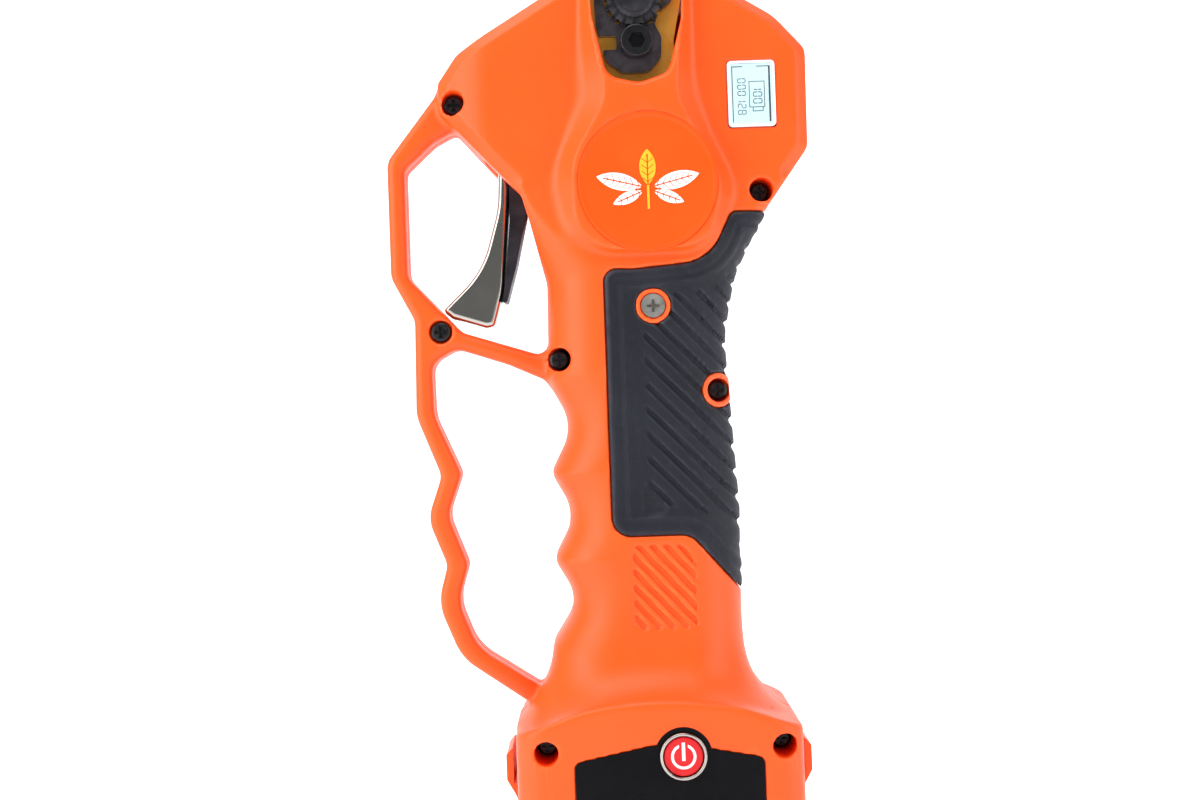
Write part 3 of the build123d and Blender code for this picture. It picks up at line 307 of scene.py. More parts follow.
# ------------------------------------------------------------------ housing and grips
def axes_grid():
    xs = np.arange(-72.0, 48.6, GRID, dtype=np.float32)
    half = np.arange(GRID / 2, 34.5, GRID, dtype=np.float32)
    ys = np.concatenate([-half[::-1], half])
    zs = np.arange(13.6, 270.0, GRID, dtype=np.float32)
    return xs, ys, zs


def cheek_half(x):
    """Half thickness of the head's flat cheeks: thinner towards the guard corner."""
    left = smoothstep(-x, 40.0, 56.0) * 5.0
    return CHEEK_HALF - left


def body_fields(xs, ys, zs):
    x, z = xs[:, None], zs[None, :]
    flat_x, flat_z = np.broadcast_arrays(x, z)
    body = outline_distance(BODY, flat_x, flat_z)
    spine_o = outline_distance(SPINE_OUTER, flat_x, flat_z)
    spine_i = outline_distance(SPINE_INNER, flat_x, flat_z)
    guard = outline_distance(GUARD, flat_x, flat_z)
    trigger = outline_distance(TRIGGER_HOLE, flat_x, flat_z)
    knuckle = outline_distance(KNUCKLE_HOLE, flat_x, flat_z)
    base = outline_distance(BASE_FRONT, flat_x, flat_z)
    pad = outline_distance(PAD, flat_x, flat_z)
    panel = outline_distance(PANEL, flat_x, flat_z)
    x3, y3, z3 = xs[:, None, None], ys[None, :, None], zs[None, None, :]

    def lift(field):
        return field[:, None, :].astype(np.float32)

    # the handle's deep round section turns into the head's flat cheeks with bevelled edges
    up = smoothstep(z3, 184.0, 214.0)
    half = HANDLE_HALF + (lift(cheek_half(flat_x)) - HANDLE_HALF) * up
    radius = 15.5 + (1.6 - 15.5) * smoothstep(z3, 180.0, 206.0)
    main = rounded_slab(lift(body), y3, half, radius)
    bevel = 0.72 * (np.abs(y3) + lift(body) - half + 3.0) - 12.0 * (1 - smoothstep(z3, 196.0, 210.0))
    main = np.maximum(main, bevel)
    # flare that widens down to the base and follows the arch of its front
    arch = 60.6 + 7.8 * np.clip(1 - (x3 / 38.5) ** 2, 0, 1)
    flare = 12.5 * np.exp(-np.maximum(z3 - arch, 0) / 5.6)
    main = main - flare * (1 - smoothstep(z3, 92.0, 104.0))
    main = np.maximum(main, 58.0 - z3)
    frame_box = rounded_rect(x3, y3, -BASE_W / 2, BASE_W / 2, BASE_D / 2, BASE_R)
    main = smooth_common(main, frame_box + 0.15 - 60.0 * smoothstep(z3, 72.0, 84.0), 1.2)
    # spine: plateau with sloping side bands
    ramp = np.clip(-spine_o / np.maximum(-spine_o + np.maximum(spine_i, 0), 1e-3), 0, 1)
    rise = 15.5 + (SPINE_HALF - 15.5) * ramp
    spine = (np.abs(y3) - lift(rise)) * 0.82
    spine = np.maximum(np.maximum(spine, lift(spine_o)), lift(body))
    solid = smooth_union(main, spine, 1.8)
    base_box = smooth_common(lift(base), rounded_rect(x3, y3, -BASE_W / 2, BASE_W / 2, BASE_D / 2, BASE_R), 1.6)
    base_box = np.maximum(base_box, SKIRT_Z - z3)
    solid = smooth_union(solid, base_box, 0.7)
    ring = np.maximum(np.maximum(guard, -trigger), -knuckle)
    bars = rounded_slab(lift(ring), y3, GUARD_HALF, 2.3)
    no_bars = solid
    solid = smooth_union(solid, bars, 2.2)
    return {"x": x3, "y": y3, "z": z3, "solid": solid, "plain": no_bars, "pad": lift(pad),
            "panel": lift(panel), "flat_x": flat_x, "flat_z": flat_z, "lift": lift, "body": lift(body)}


def screw_bosses(f):
    boss = np.full(f["solid"].shape, 1e3, np.float32)
    for x, z, _ in DEEP_SCREWS + GUARD_SCREWS[:1]:
        boss = np.minimum(boss, rod(f["x"], f["z"], x, z, 4.8))
    return boss


def hollow(f):
    """Negative where the housings are hollow."""
    handle_zone = smoothstep(f["z"], 84, 90) * (1 - smoothstep(f["z"], 192, 198))
    wall = WALL + (HANDLE_WALL - WALL) * handle_zone
    space = f["plain"] + wall
    space = np.maximum(space, BAY_TOP + BAY_FLOOR - f["z"])
    space = np.maximum(space, -screw_bosses(f))
    for rib_z in (80.0, 131.0, 178.0):
        bore = rod(f["x"], f["y"], 0.0, DRIVE_Y, MOTOR_R)
        rib = np.maximum(np.abs(f["z"] - rib_z - 1.0) - 1.0, -bore)
        space = np.maximum(space, -rib)
    motor = np.maximum(rod(f["x"], f["y"], 0.0, DRIVE_Y, MOTOR_R), np.abs(f["z"] - 158.5) - 28.5)
    gearbox = np.maximum(rod(f["x"], f["y"], 0.0, DRIVE_Y, GEARBOX_R), np.abs(f["z"] - 202.5) - 15.5)
    space = np.minimum(np.minimum(space, motor), gearbox)
    bay = rounded_rect(f["x"], f["y"], -BASE_W / 2 + WALL, BASE_W / 2 - WALL, BASE_D / 2 - WALL, BASE_R - WALL)
    bay = np.maximum(bay, f["z"] - BAY_TOP)
    port = box_distance(f["x"], f["y"], f["z"], -21, 21, 1, 23, BAY_TOP - 1, BAY_TOP + 3)
    return np.minimum(np.minimum(space, bay), port)


def common_cuts(f):
    """Cuts that both halves share, negative inside each cut."""
    x, y, z = f["x"], f["y"], f["z"]
    cuts = box_distance(x, y, z, -42.5, -24.6, -5.9, 5.9, 181, 218)
    cuts = np.minimum(cuts, box_distance(x, y, z, -14.5, 14.5, -15.0, 0.4, 248, 280))
    cuts = np.minimum(cuts, box_distance(x, y, z, 10, 26, -9.9, -4.6, 250, 280))
    for side in (-1, 1):
        low, high = sorted((side * NOTCH_X, side * BASE_W))
        notch = box_distance(x, y, z, low, high, -NOTCH_Y, NOTCH_Y, 0, NOTCH_Z)
        cuts = np.minimum(cuts, notch)
    return cuts


def panel_relief(f):
    """Depth of the ribbed panel: a shallow recess with slanted ribs."""
    across = (f["flat_x"] * math.sin(math.radians(48)) + f["flat_z"] * math.cos(math.radians(48)))
    wave = np.abs((across / 2.75) % 1.0 - 0.5) * 2
    rib = smoothstep(wave, 0.30, 0.62)
    return f["lift"](1.1 - 1.0 * rib)


def front_shell(f, cavity, cuts):
    x, y, z = f["x"], f["y"], f["z"]
    lift = f["lift"]
    window = outline_distance(WINDOW, f["flat_x"], f["flat_z"])
    label = outline_distance(LABEL, f["flat_x"], f["flat_z"])
    solid = f["solid"]
    # a bevel round the window
    window_cut = np.maximum(lift(window) - np.clip(-y - 22.4, 0, 1.4) * 0.9, y + 2.0)
    badge = rod(x, z, BADGE_X, BADGE_Z, BADGE_R)
    badge_cut = np.maximum(badge, y + SPINE_HALF - 0.9)
    pad_cut = np.maximum(np.maximum(f["pad"] - 0.12, -(f["plain"] + 2.0)), y + 0.0)
    collars = np.minimum(rod(x, z, *PAD_SCREW, COLLAR_R), rod(x, z, *PAD_WELL, COLLAR_R))
    collars = np.maximum(collars, y + COLLAR_BACK)
    pad_cut = np.maximum(pad_cut, -collars)
    panel_cut = np.maximum(np.maximum(f["panel"], -(f["plain"] + panel_relief(f))), y + 12)
    label_cut = np.maximum(lift(label) - 0.1, y + BASE_D / 2 - 0.8)
    ring_cut = np.maximum(rod(x, z, BUTTON_X, BUTTON_Z, 6.25), y + BASE_D / 2 - 6)
    lcd_cut = box_distance(x, y, z, LCD[0], LCD[1], -40, -4, LCD[2], LCD[3])
    result = np.maximum(solid, -cavity)
    tower = np.maximum(rod(x, z, *PAD_SCREW, 4.0), np.maximum(-y - 21.1, y + 12.0))
    result = np.minimum(result, tower)
    for cut in (window_cut, badge_cut, pad_cut, panel_cut, label_cut, ring_cut, lcd_cut, cuts):
        result = np.maximum(result, -cut)
    for sx, sz, head_y in GUARD_SCREWS + DEEP_SCREWS:
        well = np.maximum(rod(x, z, sx, sz, 3.25), y - head_y - 2.0)
        shank = rod(x, z, sx, sz, 1.6)
        result = np.maximum(result, -np.minimum(well, shank))
    seat = np.maximum(rod(x, z, *PAD_SCREW, 3.35), y + 19.4)
    result = np.maximum(result, -seat)
    return np.maximum(result, y + 0.06)


def rear_shell(f, cavity, cuts):
    x, y, z = f["x"], f["y"], f["z"]
    result = np.maximum(f["solid"], -cavity)
    pad_cut = np.maximum(f["pad"] - 0.12, -(f["plain"] + 2.0))
    panel_cut = np.maximum(np.maximum(f["panel"], -(f["plain"] + panel_relief(f))), 12 - y)
    groove = np.abs(rod(x, z, BADGE_X, BADGE_Z, BADGE_R)) - 0.5
    disc_cut = np.maximum(groove, SPINE_HALF - 0.8 - y)
    for cut in (pad_cut, panel_cut, disc_cut, cuts):
        result = np.maximum(result, -cut)
    for sx, sz, _ in GUARD_SCREWS + DEEP_SCREWS:
        hole = np.maximum(rod(x, z, sx, sz, 1.45), y - 5.2)
        result = np.maximum(result, -hole)
    return np.maximum(result, 0.06 - y)


def grip_solid(f, front):
    """Rubber pad: border band, two step lines, slanted ribs and a small triangular pocket."""
    flat_x, flat_z, lift = f["flat_x"], f["flat_z"], f["lift"]
    edge = -outline_distance(PAD, flat_x, flat_z)
    outer = 0.35 - 0.55 * np.exp(-((edge - 3.4) / 0.55) ** 2) - 0.45 * smoothstep(edge, 5.2, 5.9)
    across = flat_x * math.sin(math.radians(46)) + flat_z * math.cos(math.radians(46))
    wave = np.abs((across / 4.6) % 1.0 - 0.5) * 2
    field = smoothstep(edge, 7.0, 8.2)
    left_end = smoothstep(flat_x, -1.6, 0.4)
    low_end = smoothstep(flat_z, 108.0, 116.0)
    groove = smoothstep(wave, 0.62, 0.86) * field * left_end * np.maximum(low_end, 0.35)
    pocket = -outline_distance(PAD_POCKET, flat_x, flat_z)
    outer = outer - 0.95 * groove - 0.7 * smoothstep(pocket, -0.2, 0.5)
    proud = f["plain"] - lift(outer)
    pad = np.maximum(f["pad"], proud)
    pad = smooth_common(pad, f["pad"], 0.6)
    pad = np.maximum(pad, -(f["plain"] + 1.9))
    y = f["y"]
    if front:
        collars = np.minimum(rod(f["x"], f["z"], *PAD_SCREW, 4.8), rod(f["x"], f["z"], *PAD_WELL, 4.8))
        collars = np.maximum(collars, y + 6.4)
        return np.maximum(np.maximum(pad, -collars), y + 0.08)
    return np.maximum(pad, 0.08 - y)


def mesh_field(name, values, xs, ys, zs, keep):
    picked = np.nonzero(keep)[0]
    low, high = max(picked[0] - 2, 0), min(picked[-1] + 3, len(ys))
    part = np.ascontiguousarray(values[:, low:high, :])
    points, quads = surface(part, (xs[0], ys[low], zs[0]), (GRID, GRID, GRID))
    points, quads = keep_large_islands(points, quads)
    return make_object(name, points, quads)


def build_shells():
    xs, ys, zs = axes_grid()
    f = body_fields(xs, ys, zs)
    cavity = hollow(f)
    cuts = common_cuts(f)
    made = {
        "housing_front": mesh_field("housing_front", front_shell(f, cavity, cuts), xs, ys, zs, ys < 0.1),
        "housing_rear": mesh_field("housing_rear", rear_shell(f, cavity, cuts), xs, ys, zs, ys > -0.1),
        "grip_front": mesh_field("grip_front", grip_solid(f, True), xs, ys, zs, ys < 0.1),
        "grip_rear": mesh_field("grip_rear", grip_solid(f, False), xs, ys, zs, ys > -0.1),
    }
    return made


# ------------------------------------------------------------------ small shaped pieces
def shape(name, low, high, step, field, place=None):
    """Solid from a distance formula on its own fine grid; place moves its points afterwards."""
    steps = step if isinstance(step, tuple) else (step,) * 3
    axes = [np.arange(a - 2 * s, b + 2.5 * s, s, dtype=np.float32) for a, b, s in zip(low, high, steps)]
    flat_x, flat_z = np.broadcast_arrays(axes[0][:, None], axes[2][None, :])
    x, y, z = axes[0][:, None, None], axes[1][None, :, None], axes[2][None, None, :]

    def flat(corners):
        return outline_distance(corners, flat_x, flat_z)[:, None, :]

    values = np.broadcast_to(field(x, y, z, flat), tuple(len(a) for a in axes))
    points, quads = surface(np.ascontiguousarray(values, np.float32), [a[0] for a in axes], steps)
    if place:
        points = place(points)
    return make_object(name, points, quads)


def lathe(name, x, z, profile, segments=144):
    """Round piece about an axis along Y, from (radius, y) points; both ends on the axis."""
    points, faces = [], []
    rings = [p for p in profile if p[0] > 1e-6]
    for radius, y in rings:
        for k in range(segments):
            a = 2 * math.pi * k / segments
            points.append((x + radius * math.cos(a), y, z + radius * math.sin(a)))
    for r in range(len(rings) - 1):
        for k in range(segments):
            n = (k + 1) % segments
            faces.append((r * segments + k, r * segments + n, (r + 1) * segments + n, (r + 1) * segments + k))
    for end, ring in ((profile[0], 0), (profile[-1], len(rings) - 1)):
        if end[0] > 1e-6:
            continue
        centre = len(points)
        points.append((x, end[1], z))
        for k in range(segments):
            n = (k + 1) % segments
            a, b = ring * segments + k, ring * segments + n
            faces.append((centre, b, a) if ring == 0 else (centre, a, b))
    made = make_object(name, points, faces)
    mark_sharp(made, 32)
    return made


def mark_sharp(made, degrees):
    """Crisp shading at edges steeper than this."""
    mesh = made.data
    work = bmesh.new()
    work.from_mesh(mesh)
    bmesh.ops.recalc_face_normals(work, faces=work.faces)
    limit = math.radians(degrees)
    for edge in work.edges:
        edge.smooth = not (edge.is_manifold and edge.calc_face_angle(0) > limit)
    work.to_mesh(mesh)
    work.free()


def about_pivot(angle):
    c, s = math.cos(math.radians(angle)), math.sin(math.radians(angle))

    def place(points):
        x, z = points[:, 0].copy(), points[:, 2].copy()
        points[:, 0] = x * c + z * s
        points[:, 2] = -x * s + z * c + PIVOT_Z
        return points
    return place


def lever_field(x, y, z, flat):
    crowned = flat(LEVER) + 0.55 * (y / 4.8) ** 2
    lever = rounded_slab(crowned, y, 4.8, 1.0)
    eye = np.maximum(rod(x, z, -36.5, 221.0, 4.4), np.abs(y) - 3.0)
    arm = box_distance(x, y, z, -39.0, -36.1, -3.0, 3.0, 212, 221)
    lever = np.minimum(lever, np.minimum(eye, arm))
    return np.maximum(lever, -rod(x, z, -36.5, 221.0, 1.55))


def blade_field(x, y, z, flat):
    tail_middle, tail_half = math.radians(-73.0), math.radians(40.0)
    turn = np.abs(np.arctan2(z, x) - tail_middle) - tail_half
    tail = np.maximum(rod(x, z, 0, 0, 18.4), turn * 12.0)
    plan = np.minimum(np.minimum(flat(BLADE), rod(x, z, 0, 0, 12.4)), tail)
    blade = np.maximum(plan, np.maximum(-9.0 - y, y + 5.5))
    edge = x - np.interp(z, [14, 34, 56, 76], [-8.8, -9.2, -7.4, -2.0])
    ground = y - (-8.7 + 0.50 * np.maximum(edge, 0) + 20 * (1 - smoothstep(z, 12.0, 16.0)))
    blade = np.maximum(blade, ground * 0.85)
    return np.maximum(blade, -rod(x, z, 0, 0, 5.2))


def hook_field(x, y, z, flat):
    hook = np.maximum(flat(HOOK), np.maximum(-11.4 - y, y + 9.1))
    edge = np.interp(z, [10, 32, 58, 79], [-5.4, -7.8, -5.8, 0.8]) - x
    ground = (-9.5 - 0.55 * np.maximum(edge, 0) - 20 * (1 - smoothstep(z, 9.0, 13.0))) - y
    hook = np.maximum(hook, ground * 0.85)
    hook = np.maximum(hook, -rod(x, z, 0, 0, 4.0))
    return np.maximum(hook, -rod(x, z, 0.4, -12.0, 2.5))


def leaf(u, v, length, width):
    """Pointed leaf from 0 to length along u, with a midrib and side veins cut out."""
    radius = (length ** 2 / 4 + width ** 2 / 4) / width
    shift = radius - width / 2
    body = np.maximum(np.hypot(u - length / 2, v - shift) - radius, np.hypot(u - length / 2, v + shift) - radius)
    rib = np.maximum(np.abs(v) - 0.16, u - length * 0.86)
    side = np.abs(((u - 0.75 * np.abs(v)) / 1.7) % 1.0 - 0.5) * 1.7 - 0.11
    vein = np.maximum(side, np.maximum(np.abs(v) - width * 0.36, u - length * 0.82))
    return np.maximum(np.maximum(body, -rib), -vein)


def leaf_pair_field(x, y, z, flat):
    plans = []
    for side, tilt, length in ((1, 14, 12.6), (-1, 166, 12.6), (1, -22, 8.6), (-1, 202, 8.6)):
        a = math.radians(tilt)
        dx, dz = x - (BADGE_X + side * 1.5), z - (BADGE_Z - 1.4 - (1.2 if length < 10 else 0))
        u, v = dx * math.cos(a) + dz * math.sin(a), -dx * math.sin(a) + dz * math.cos(a)
        plans.append(leaf(u, v, length, 0.36 * length))
    plan = np.minimum.reduce(plans)
    return np.maximum(plan, np.maximum(-23.93 - y, y + 23.6))


def sprout_field(x, y, z, flat):
    dx, dz = x - BADGE_X, z - (BADGE_Z - 1.0)
    plan = leaf(dz, dx, 9.6, 4.4)
    stem = np.maximum(np.abs(dx) - 0.32, np.abs(dz + 3.2) - 3.2)
    return np.maximum(np.minimum(plan, stem), np.maximum(-23.95 - y, y + 23.6))


def power_field(x, y, z, flat):
    dx, dz = x - BUTTON_X, z - BUTTON_Z
    arc = np.abs(np.hypot(dx, dz) - 2.95) - 0.36
    gap = np.maximum(np.abs(dx) - 1.15, -dz)
    arc = np.maximum(arc, -gap)
    bar = np.maximum(np.abs(dx) - 0.45, np.abs(dz - 1.3) - 2.4)
    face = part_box("power_button")[0].y / MM
    return np.maximum(np.minimum(arc, bar), np.maximum(face - 0.09 - y, y - face - 0.3))


# seven-segment strokes in a cell of height 1 along u and width 0.5 along v
SEGMENTS = {
    "a": (0.90, 1.0, 0.08, 0.46), "b": (0.54, 0.92, 0.44, 0.54), "c": (0.08, 0.46, 0.44, 0.54),
    "d": (0.0, 0.10, 0.08, 0.46), "e": (0.08, 0.46, 0.0, 0.10), "f": (0.54, 0.92, 0.0, 0.10),
    "g": (0.45, 0.55, 0.10, 0.44),
}
DIGITS = {"0": "abcdef", "1": "bc", "2": "abged", "4": "fgbc", "8": "abcdefg"}


def lcd_strokes():
    """Generic read-out turned a quarter: a row of digits, and a battery sign with a second row."""
    strokes = []
    for text, x_top, size, z_start in (("000128", 29.5, 2.3, 234.4), ("100", 33.9, 2.5, 232.6)):
        pitch = size * 0.74
        for place, digit in enumerate(text):
            for segment in DIGITS[digit]:
                u0, u1, v0, v1 = SEGMENTS[segment]
                z_high = z_start - place * pitch
                strokes.append((x_top - size * (1 - u0), x_top - size * (1 - u1),
                                z_high - v1 * size * 1.05, z_high - v0 * size * 1.05))
    line = 0.22
    x0, x1, z0, z1 = 30.3, 34.6, 226.5, 233.6
    strokes += [(x0, x0 + line, z0, z1), (x1 - line, x1, z0, z1), (x0, x1, z1 - line, z1), (x0, x1, z0, z0 + line)]
    strokes += [(31.2, 31.2 + line, 225.5, z0), (33.9, 33.9 + line, 225.5, z0), (31.2, 34.0, 225.4, 225.4 + line)]
    return strokes


def frame_shade_strokes():
    """Painted shade: dark strips laid where the gaps between the screen and its white frame fall in shadow."""
    x0, x1, z0, z1 = LCD
    return [(x1 - 1.75, x1 - 1.25, z0 + 1.35, z1 - 1.4), (x0 + 1.25, x0 + 1.5, z0 + 1.35, z1 - 1.4),
            (x0 + 1.5, x0 + 4.2, z1 - 1.65, z1 - 1.4), (x1 - 5.0, x1 - 1.75, z1 - 1.65, z1 - 1.4)]


def stroke_plates(name, strokes, y_front, thickness, radius=0.03):
    """Thin plates, one for each stroke, with cut corners: printed marks, and also the painted shade in the screen's
    gaps.
    """
    points, faces = [], []
    for x0, x1, z0, z1 in strokes:
        r = min(radius, (x1 - x0) / 3, (z1 - z0) / 3)
        ring = [(x0 + r, z0), (x1 - r, z0), (x1, z0 + r), (x1, z1 - r), (x1 - r, z1), (x0 + r, z1),
                (x0, z1 - r), (x0, z0 + r)]
        first = len(points)
        points += [(x, y_front, z) for x, z in ring] + [(x, y_front + thickness, z) for x, z in ring]
        count = len(ring)
        faces.append(tuple(first + k for k in range(count)))
        faces.append(tuple(first + count + k for k in reversed(range(count))))
        for k in range(count):
            n = (k + 1) % count
            faces.append((first + n, first + k, first + count + k, first + count + n))
    made = make_object(name, points, faces, smooth=False)
    return made


# ------------------------------------------------------------------ materials
def linear(red, green, blue):
    return tuple(((c / 255 + 0.055) / 1.055) ** 2.4 if c > 10 else c / 255 / 12.92 for c in (red, green, blue))


def node_material(name, colour, rough, metallic=0.0, blotch=(45, 0.05), grain=(2600, 0.05), wear=(0.0, None),
                  stretch=(1, 1, 1), rough_vary=0.06, coat=0.0, sheen=0.0, specular=0.5, glow=0.0, transmit=0.0,
                  dust=0.0):
    """Procedural finish: uneven colour, fine surface grain, uneven gloss and worn edges."""
    material = bpy.data.materials.new(name)
    material.use_nodes = True
    nodes, links = material.node_tree.nodes, material.node_tree.links
    shader = nodes["Principled BSDF"]
    base = linear(*colour)
    coordinates = nodes.new("ShaderNodeTexCoord")
    mapping = nodes.new("ShaderNodeMapping")
    mapping.inputs["Scale"].default_value = stretch
    links.new(coordinates.outputs["Object"], mapping.inputs["Vector"])

    def noise(scale, detail=3.0, source=mapping):
        node = nodes.new("ShaderNodeTexNoise")
        node.inputs["Scale"].default_value = scale
        node.inputs["Detail"].default_value = detail
        links.new(source.outputs["Vector"], node.inputs["Vector"])
        return node.outputs["Fac"]

    def ramp(value, low, high, to_low, to_high):
        node = nodes.new("ShaderNodeMapRange")
        for socket, number in zip(("From Min", "From Max", "To Min", "To Max"), (low, high, to_low, to_high)):
            node.inputs[socket].default_value = number
        links.new(value, node.inputs["Value"])
        return node.outputs["Result"]

    def mix(factor, first, second):
        node = nodes.new("ShaderNodeMix")
        node.data_type = "RGBA"
        links.new(factor, node.inputs["Factor"])
        for socket, value in zip(("A", "B"), (first, second)):
            target = [s for s in node.inputs if s.name == socket and s.type == "RGBA"][0]
            if isinstance(value, tuple):
                target.default_value = (*value, 1.0)
            else:
                links.new(value, target)
        return [s for s in node.outputs if s.type == "RGBA"][0]

    darker = tuple(c * (1 - blotch[1] * 1.6) for c in base)
    lighter = tuple(min(1.0, c * (1 + blotch[1]) + 0.002) for c in base)
    result = mix(ramp(noise(blotch[0]), 0.3, 0.7, 0.0, 1.0), darker, lighter)
    if dust:
        pale = tuple(min(1.0, c * 0.6 + 0.16) for c in base)
        result = mix(ramp(noise(blotch[0] * 9, 6.0), 0.56, 0.8, 0.0, dust), result, pale)
    smoothest, roughest = max(0.02, rough - rough_vary), min(1.0, rough + rough_vary)
    roughness = ramp(noise(grain[0] * 0.12, 4.0), 0.25, 0.75, smoothest, roughest)
    if wear[0]:
        geometry = nodes.new("ShaderNodeNewGeometry")
        edge = ramp(geometry.outputs["Pointiness"], 0.515, 0.58, 0.0, wear[0])
        patch = nodes.new("ShaderNodeMath")
        patch.operation = "MULTIPLY"
        links.new(edge, patch.inputs[0])
        links.new(ramp(noise(240, 5.0), 0.35, 0.65, 0.25, 1.0), patch.inputs[1])
        worn = linear(*wear[1]) if wear[1] else tuple(min(1.0, c * 1.35 + 0.03) for c in base)
        result = mix(patch.outputs["Value"], result, worn)
    links.new(result, shader.inputs["Base Color"])
    links.new(roughness, shader.inputs["Roughness"])
    bump = nodes.new("ShaderNodeBump")
    bump.inputs["Strength"].default_value = grain[1]
    bump.inputs["Distance"].default_value = 0.0004
    links.new(noise(grain[0], 5.0), bump.inputs["Height"])
    links.new(bump.outputs["Normal"], shader.inputs["Normal"])
    shader.inputs["Metallic"].default_value = metallic
    shader.inputs["Specular IOR Level"].default_value = specular
    shader.inputs["Coat Weight"].default_value = coat
    shader.inputs["Coat Roughness"].default_value = 0.12
    shader.inputs["Sheen Weight"].default_value = sheen
    shader.inputs["Transmission Weight"].default_value = transmit
    if glow:
        shader.inputs["Emission Color"].default_value = (*base, 1.0)
        shader.inputs["Emission Strength"].default_value = glow
    return material


def finishes():
    n = node_material
    return {
        "orange_plastic": n("orange_plastic", (255, 84, 14), 0.42, grain=(2300, 0.10), blotch=(30, 0.035),
                            wear=(0.30, (255, 140, 80)), rough_vary=0.05, specular=0.34),
        "orange_gloss": n("orange_gloss", (255, 84, 14), 0.42, grain=(2300, 0.08), blotch=(30, 0.02),
                          rough_vary=0.03, specular=0.34),
        "grip_rubber": n("grip_rubber", (22, 24, 33), 0.60, grain=(3200, 0.22), blotch=(70, 0.14),
                         wear=(0.55, (88, 92, 104)), sheen=0.03, dust=0.03, specular=0.26),
        "badge_plastic": n("badge_plastic", (255, 80, 10), 0.36, specular=0.25, grain=(1900, 0.05), blotch=(60, 0.03)),
        "motif_white": n("motif_white", (246, 244, 238), 0.45, grain=(2600, 0.08), blotch=(300, 0.03)),
        "motif_yellow": n("motif_yellow", (252, 178, 22), 0.45, grain=(2600, 0.08), blotch=(300, 0.05)),
        "blade_steel": n("blade_steel", (176, 178, 182), 0.27, metallic=1.0, stretch=(14, 1, 1.0),
                         grain=(420, 0.10), blotch=(120, 0.10), wear=(0.4, (228, 228, 230))),
        "gold_metal": n("gold_metal", (228, 160, 38), 0.38, metallic=0.6, grain=(1500, 0.12), blotch=(130, 0.16),
                        wear=(0.5, (232, 196, 100))),
        "black_steel": n("black_steel", (12, 12, 15), 0.32, grain=(1900, 0.12), blotch=(160, 0.3),
                         wear=(0.6, (88, 86, 92)), specular=0.36),
        "bright_steel": n("bright_steel", (188, 190, 194), 0.24, metallic=1.0, grain=(1300, 0.06), blotch=(150, 0.10),
                          wear=(0.5, (232, 232, 234))),
        "zinc_steel": n("zinc_steel", (150, 146, 136), 0.34, metallic=1.0, grain=(1200, 0.12), blotch=(420, 0.22),
                        wear=(0.6, (220, 218, 210))),
        "bronze": n("bronze", (186, 140, 84), 0.34, metallic=0.9, grain=(1400, 0.1), blotch=(200, 0.12)),
        "chrome_metal": n("chrome_metal", (172, 168, 160), 0.14, metallic=1.0, grain=(900, 0.012), blotch=(60, 0.05),
                          rough_vary=0.04),
        "black_plastic": n("black_plastic", (12, 12, 16), 0.42, grain=(2400, 0.12), blotch=(90, 0.16),
                           wear=(0.4, (60, 60, 68)), specular=0.25),
        "label_film": n("label_film", (6, 6, 9), 0.36, grain=(2800, 0.07), blotch=(50, 0.14), rough_vary=0.05,
                        specular=0.08),
        "button_red": n("button_red", (206, 14, 20), 0.30, grain=(1500, 0.04), blotch=(120, 0.07), coat=0.05,
                        specular=0.3),
        "white_plastic": n("white_plastic", (238, 238, 242), 0.36, grain=(1800, 0.05), blotch=(110, 0.02)),
        "lcd_glass": n("lcd_glass", (246, 250, 252), 0.06, grain=(500, 0.004), blotch=(40, 0.01), transmit=0.96,
                       rough_vary=0.02),
        # the screen panel glows though it is no lamp: painted light that makes it look brighter
        "lcd_panel": n("lcd_panel", (232, 246, 248), 0.30, grain=(2400, 0.02), blotch=(140, 0.03), glow=0.42),
        "lcd_ink": n("lcd_ink", (70, 84, 96), 0.5, grain=(2400, 0.02), blotch=(200, 0.10)),
        # painted shade: flat dark colour for the shadowed gaps round the screen
        "painted_gap_shade": n("painted_gap_shade", (40, 52, 74), 0.4, grain=(2400, 0.02), blotch=(200, 0.10)),
        "board_green": n("board_green", (26, 92, 52), 0.42, grain=(1500, 0.16), blotch=(400, 0.22), wear=(0.3, None)),
        "cell_wrap": n("cell_wrap", (38, 108, 168), 0.38, grain=(900, 0.06), blotch=(60, 0.08), wear=(0.3, None)),
        "lead_wire": n("lead_wire", (176, 34, 34), 0.46, grain=(1600, 0.10), blotch=(120, 0.10)),
        "motor_steel": n("motor_steel", (152, 154, 158), 0.33, metallic=1.0, grain=(1300, 0.1), blotch=(90, 0.12),
                         wear=(0.4, (215, 215, 218))),
        "copper": n("copper", (190, 104, 62), 0.34, metallic=1.0, grain=(800, 0.24), blotch=(300, 0.14)),
    }


NODE_FINISH = {
    "orange_gloss": ["battery_case", "battery_cover", "release_button_left", "release_button_right"],
    "black_steel": ["pivot_bolt", "toothed_nut", "lock_plate", "lock_screw", "guard_screws", "housing_screws",
                    "battery_screws", "gearbox_screws", "sector_screws"],
    "gold_metal": ["blade_frame"],
    "bright_steel": ["blade_washer", "bevel_sector", "bevel_pinion", "output_shaft", "planet_carrier",
                     "shaft_bearings", "sun_gear", "trigger_pin", "motor_shaft", "release_spring_left",
                     "release_spring_right", "trigger_spring", "battery_terminals"],
    "zinc_steel": ["pad_screw"],
    "bronze": ["pivot_bush"],
    "black_plastic": ["trigger_backing", "trigger_sensor", "motor_front_cap", "motor_rear_cap", "ring_gear",
                      "switch_body"],
    "motor_steel": ["motor_can", "gearbox_housing", "planet_gear_1", "planet_gear_2", "planet_gear_3"],
    "copper": ["rotor"],
    "chrome_metal": ["button_ring"],
    "label_film": ["label_plate"],
    "button_red": ["power_button"],
    "white_plastic": ["lcd_bezel"],
    "lcd_glass": ["lcd_window"],
    "lcd_panel": ["lcd_module"],
    "board_green": ["battery_board", "control_board"],
    "cell_wrap": ["battery_cells"],
    "lead_wire": ["leads", "board_capacitor"],
}


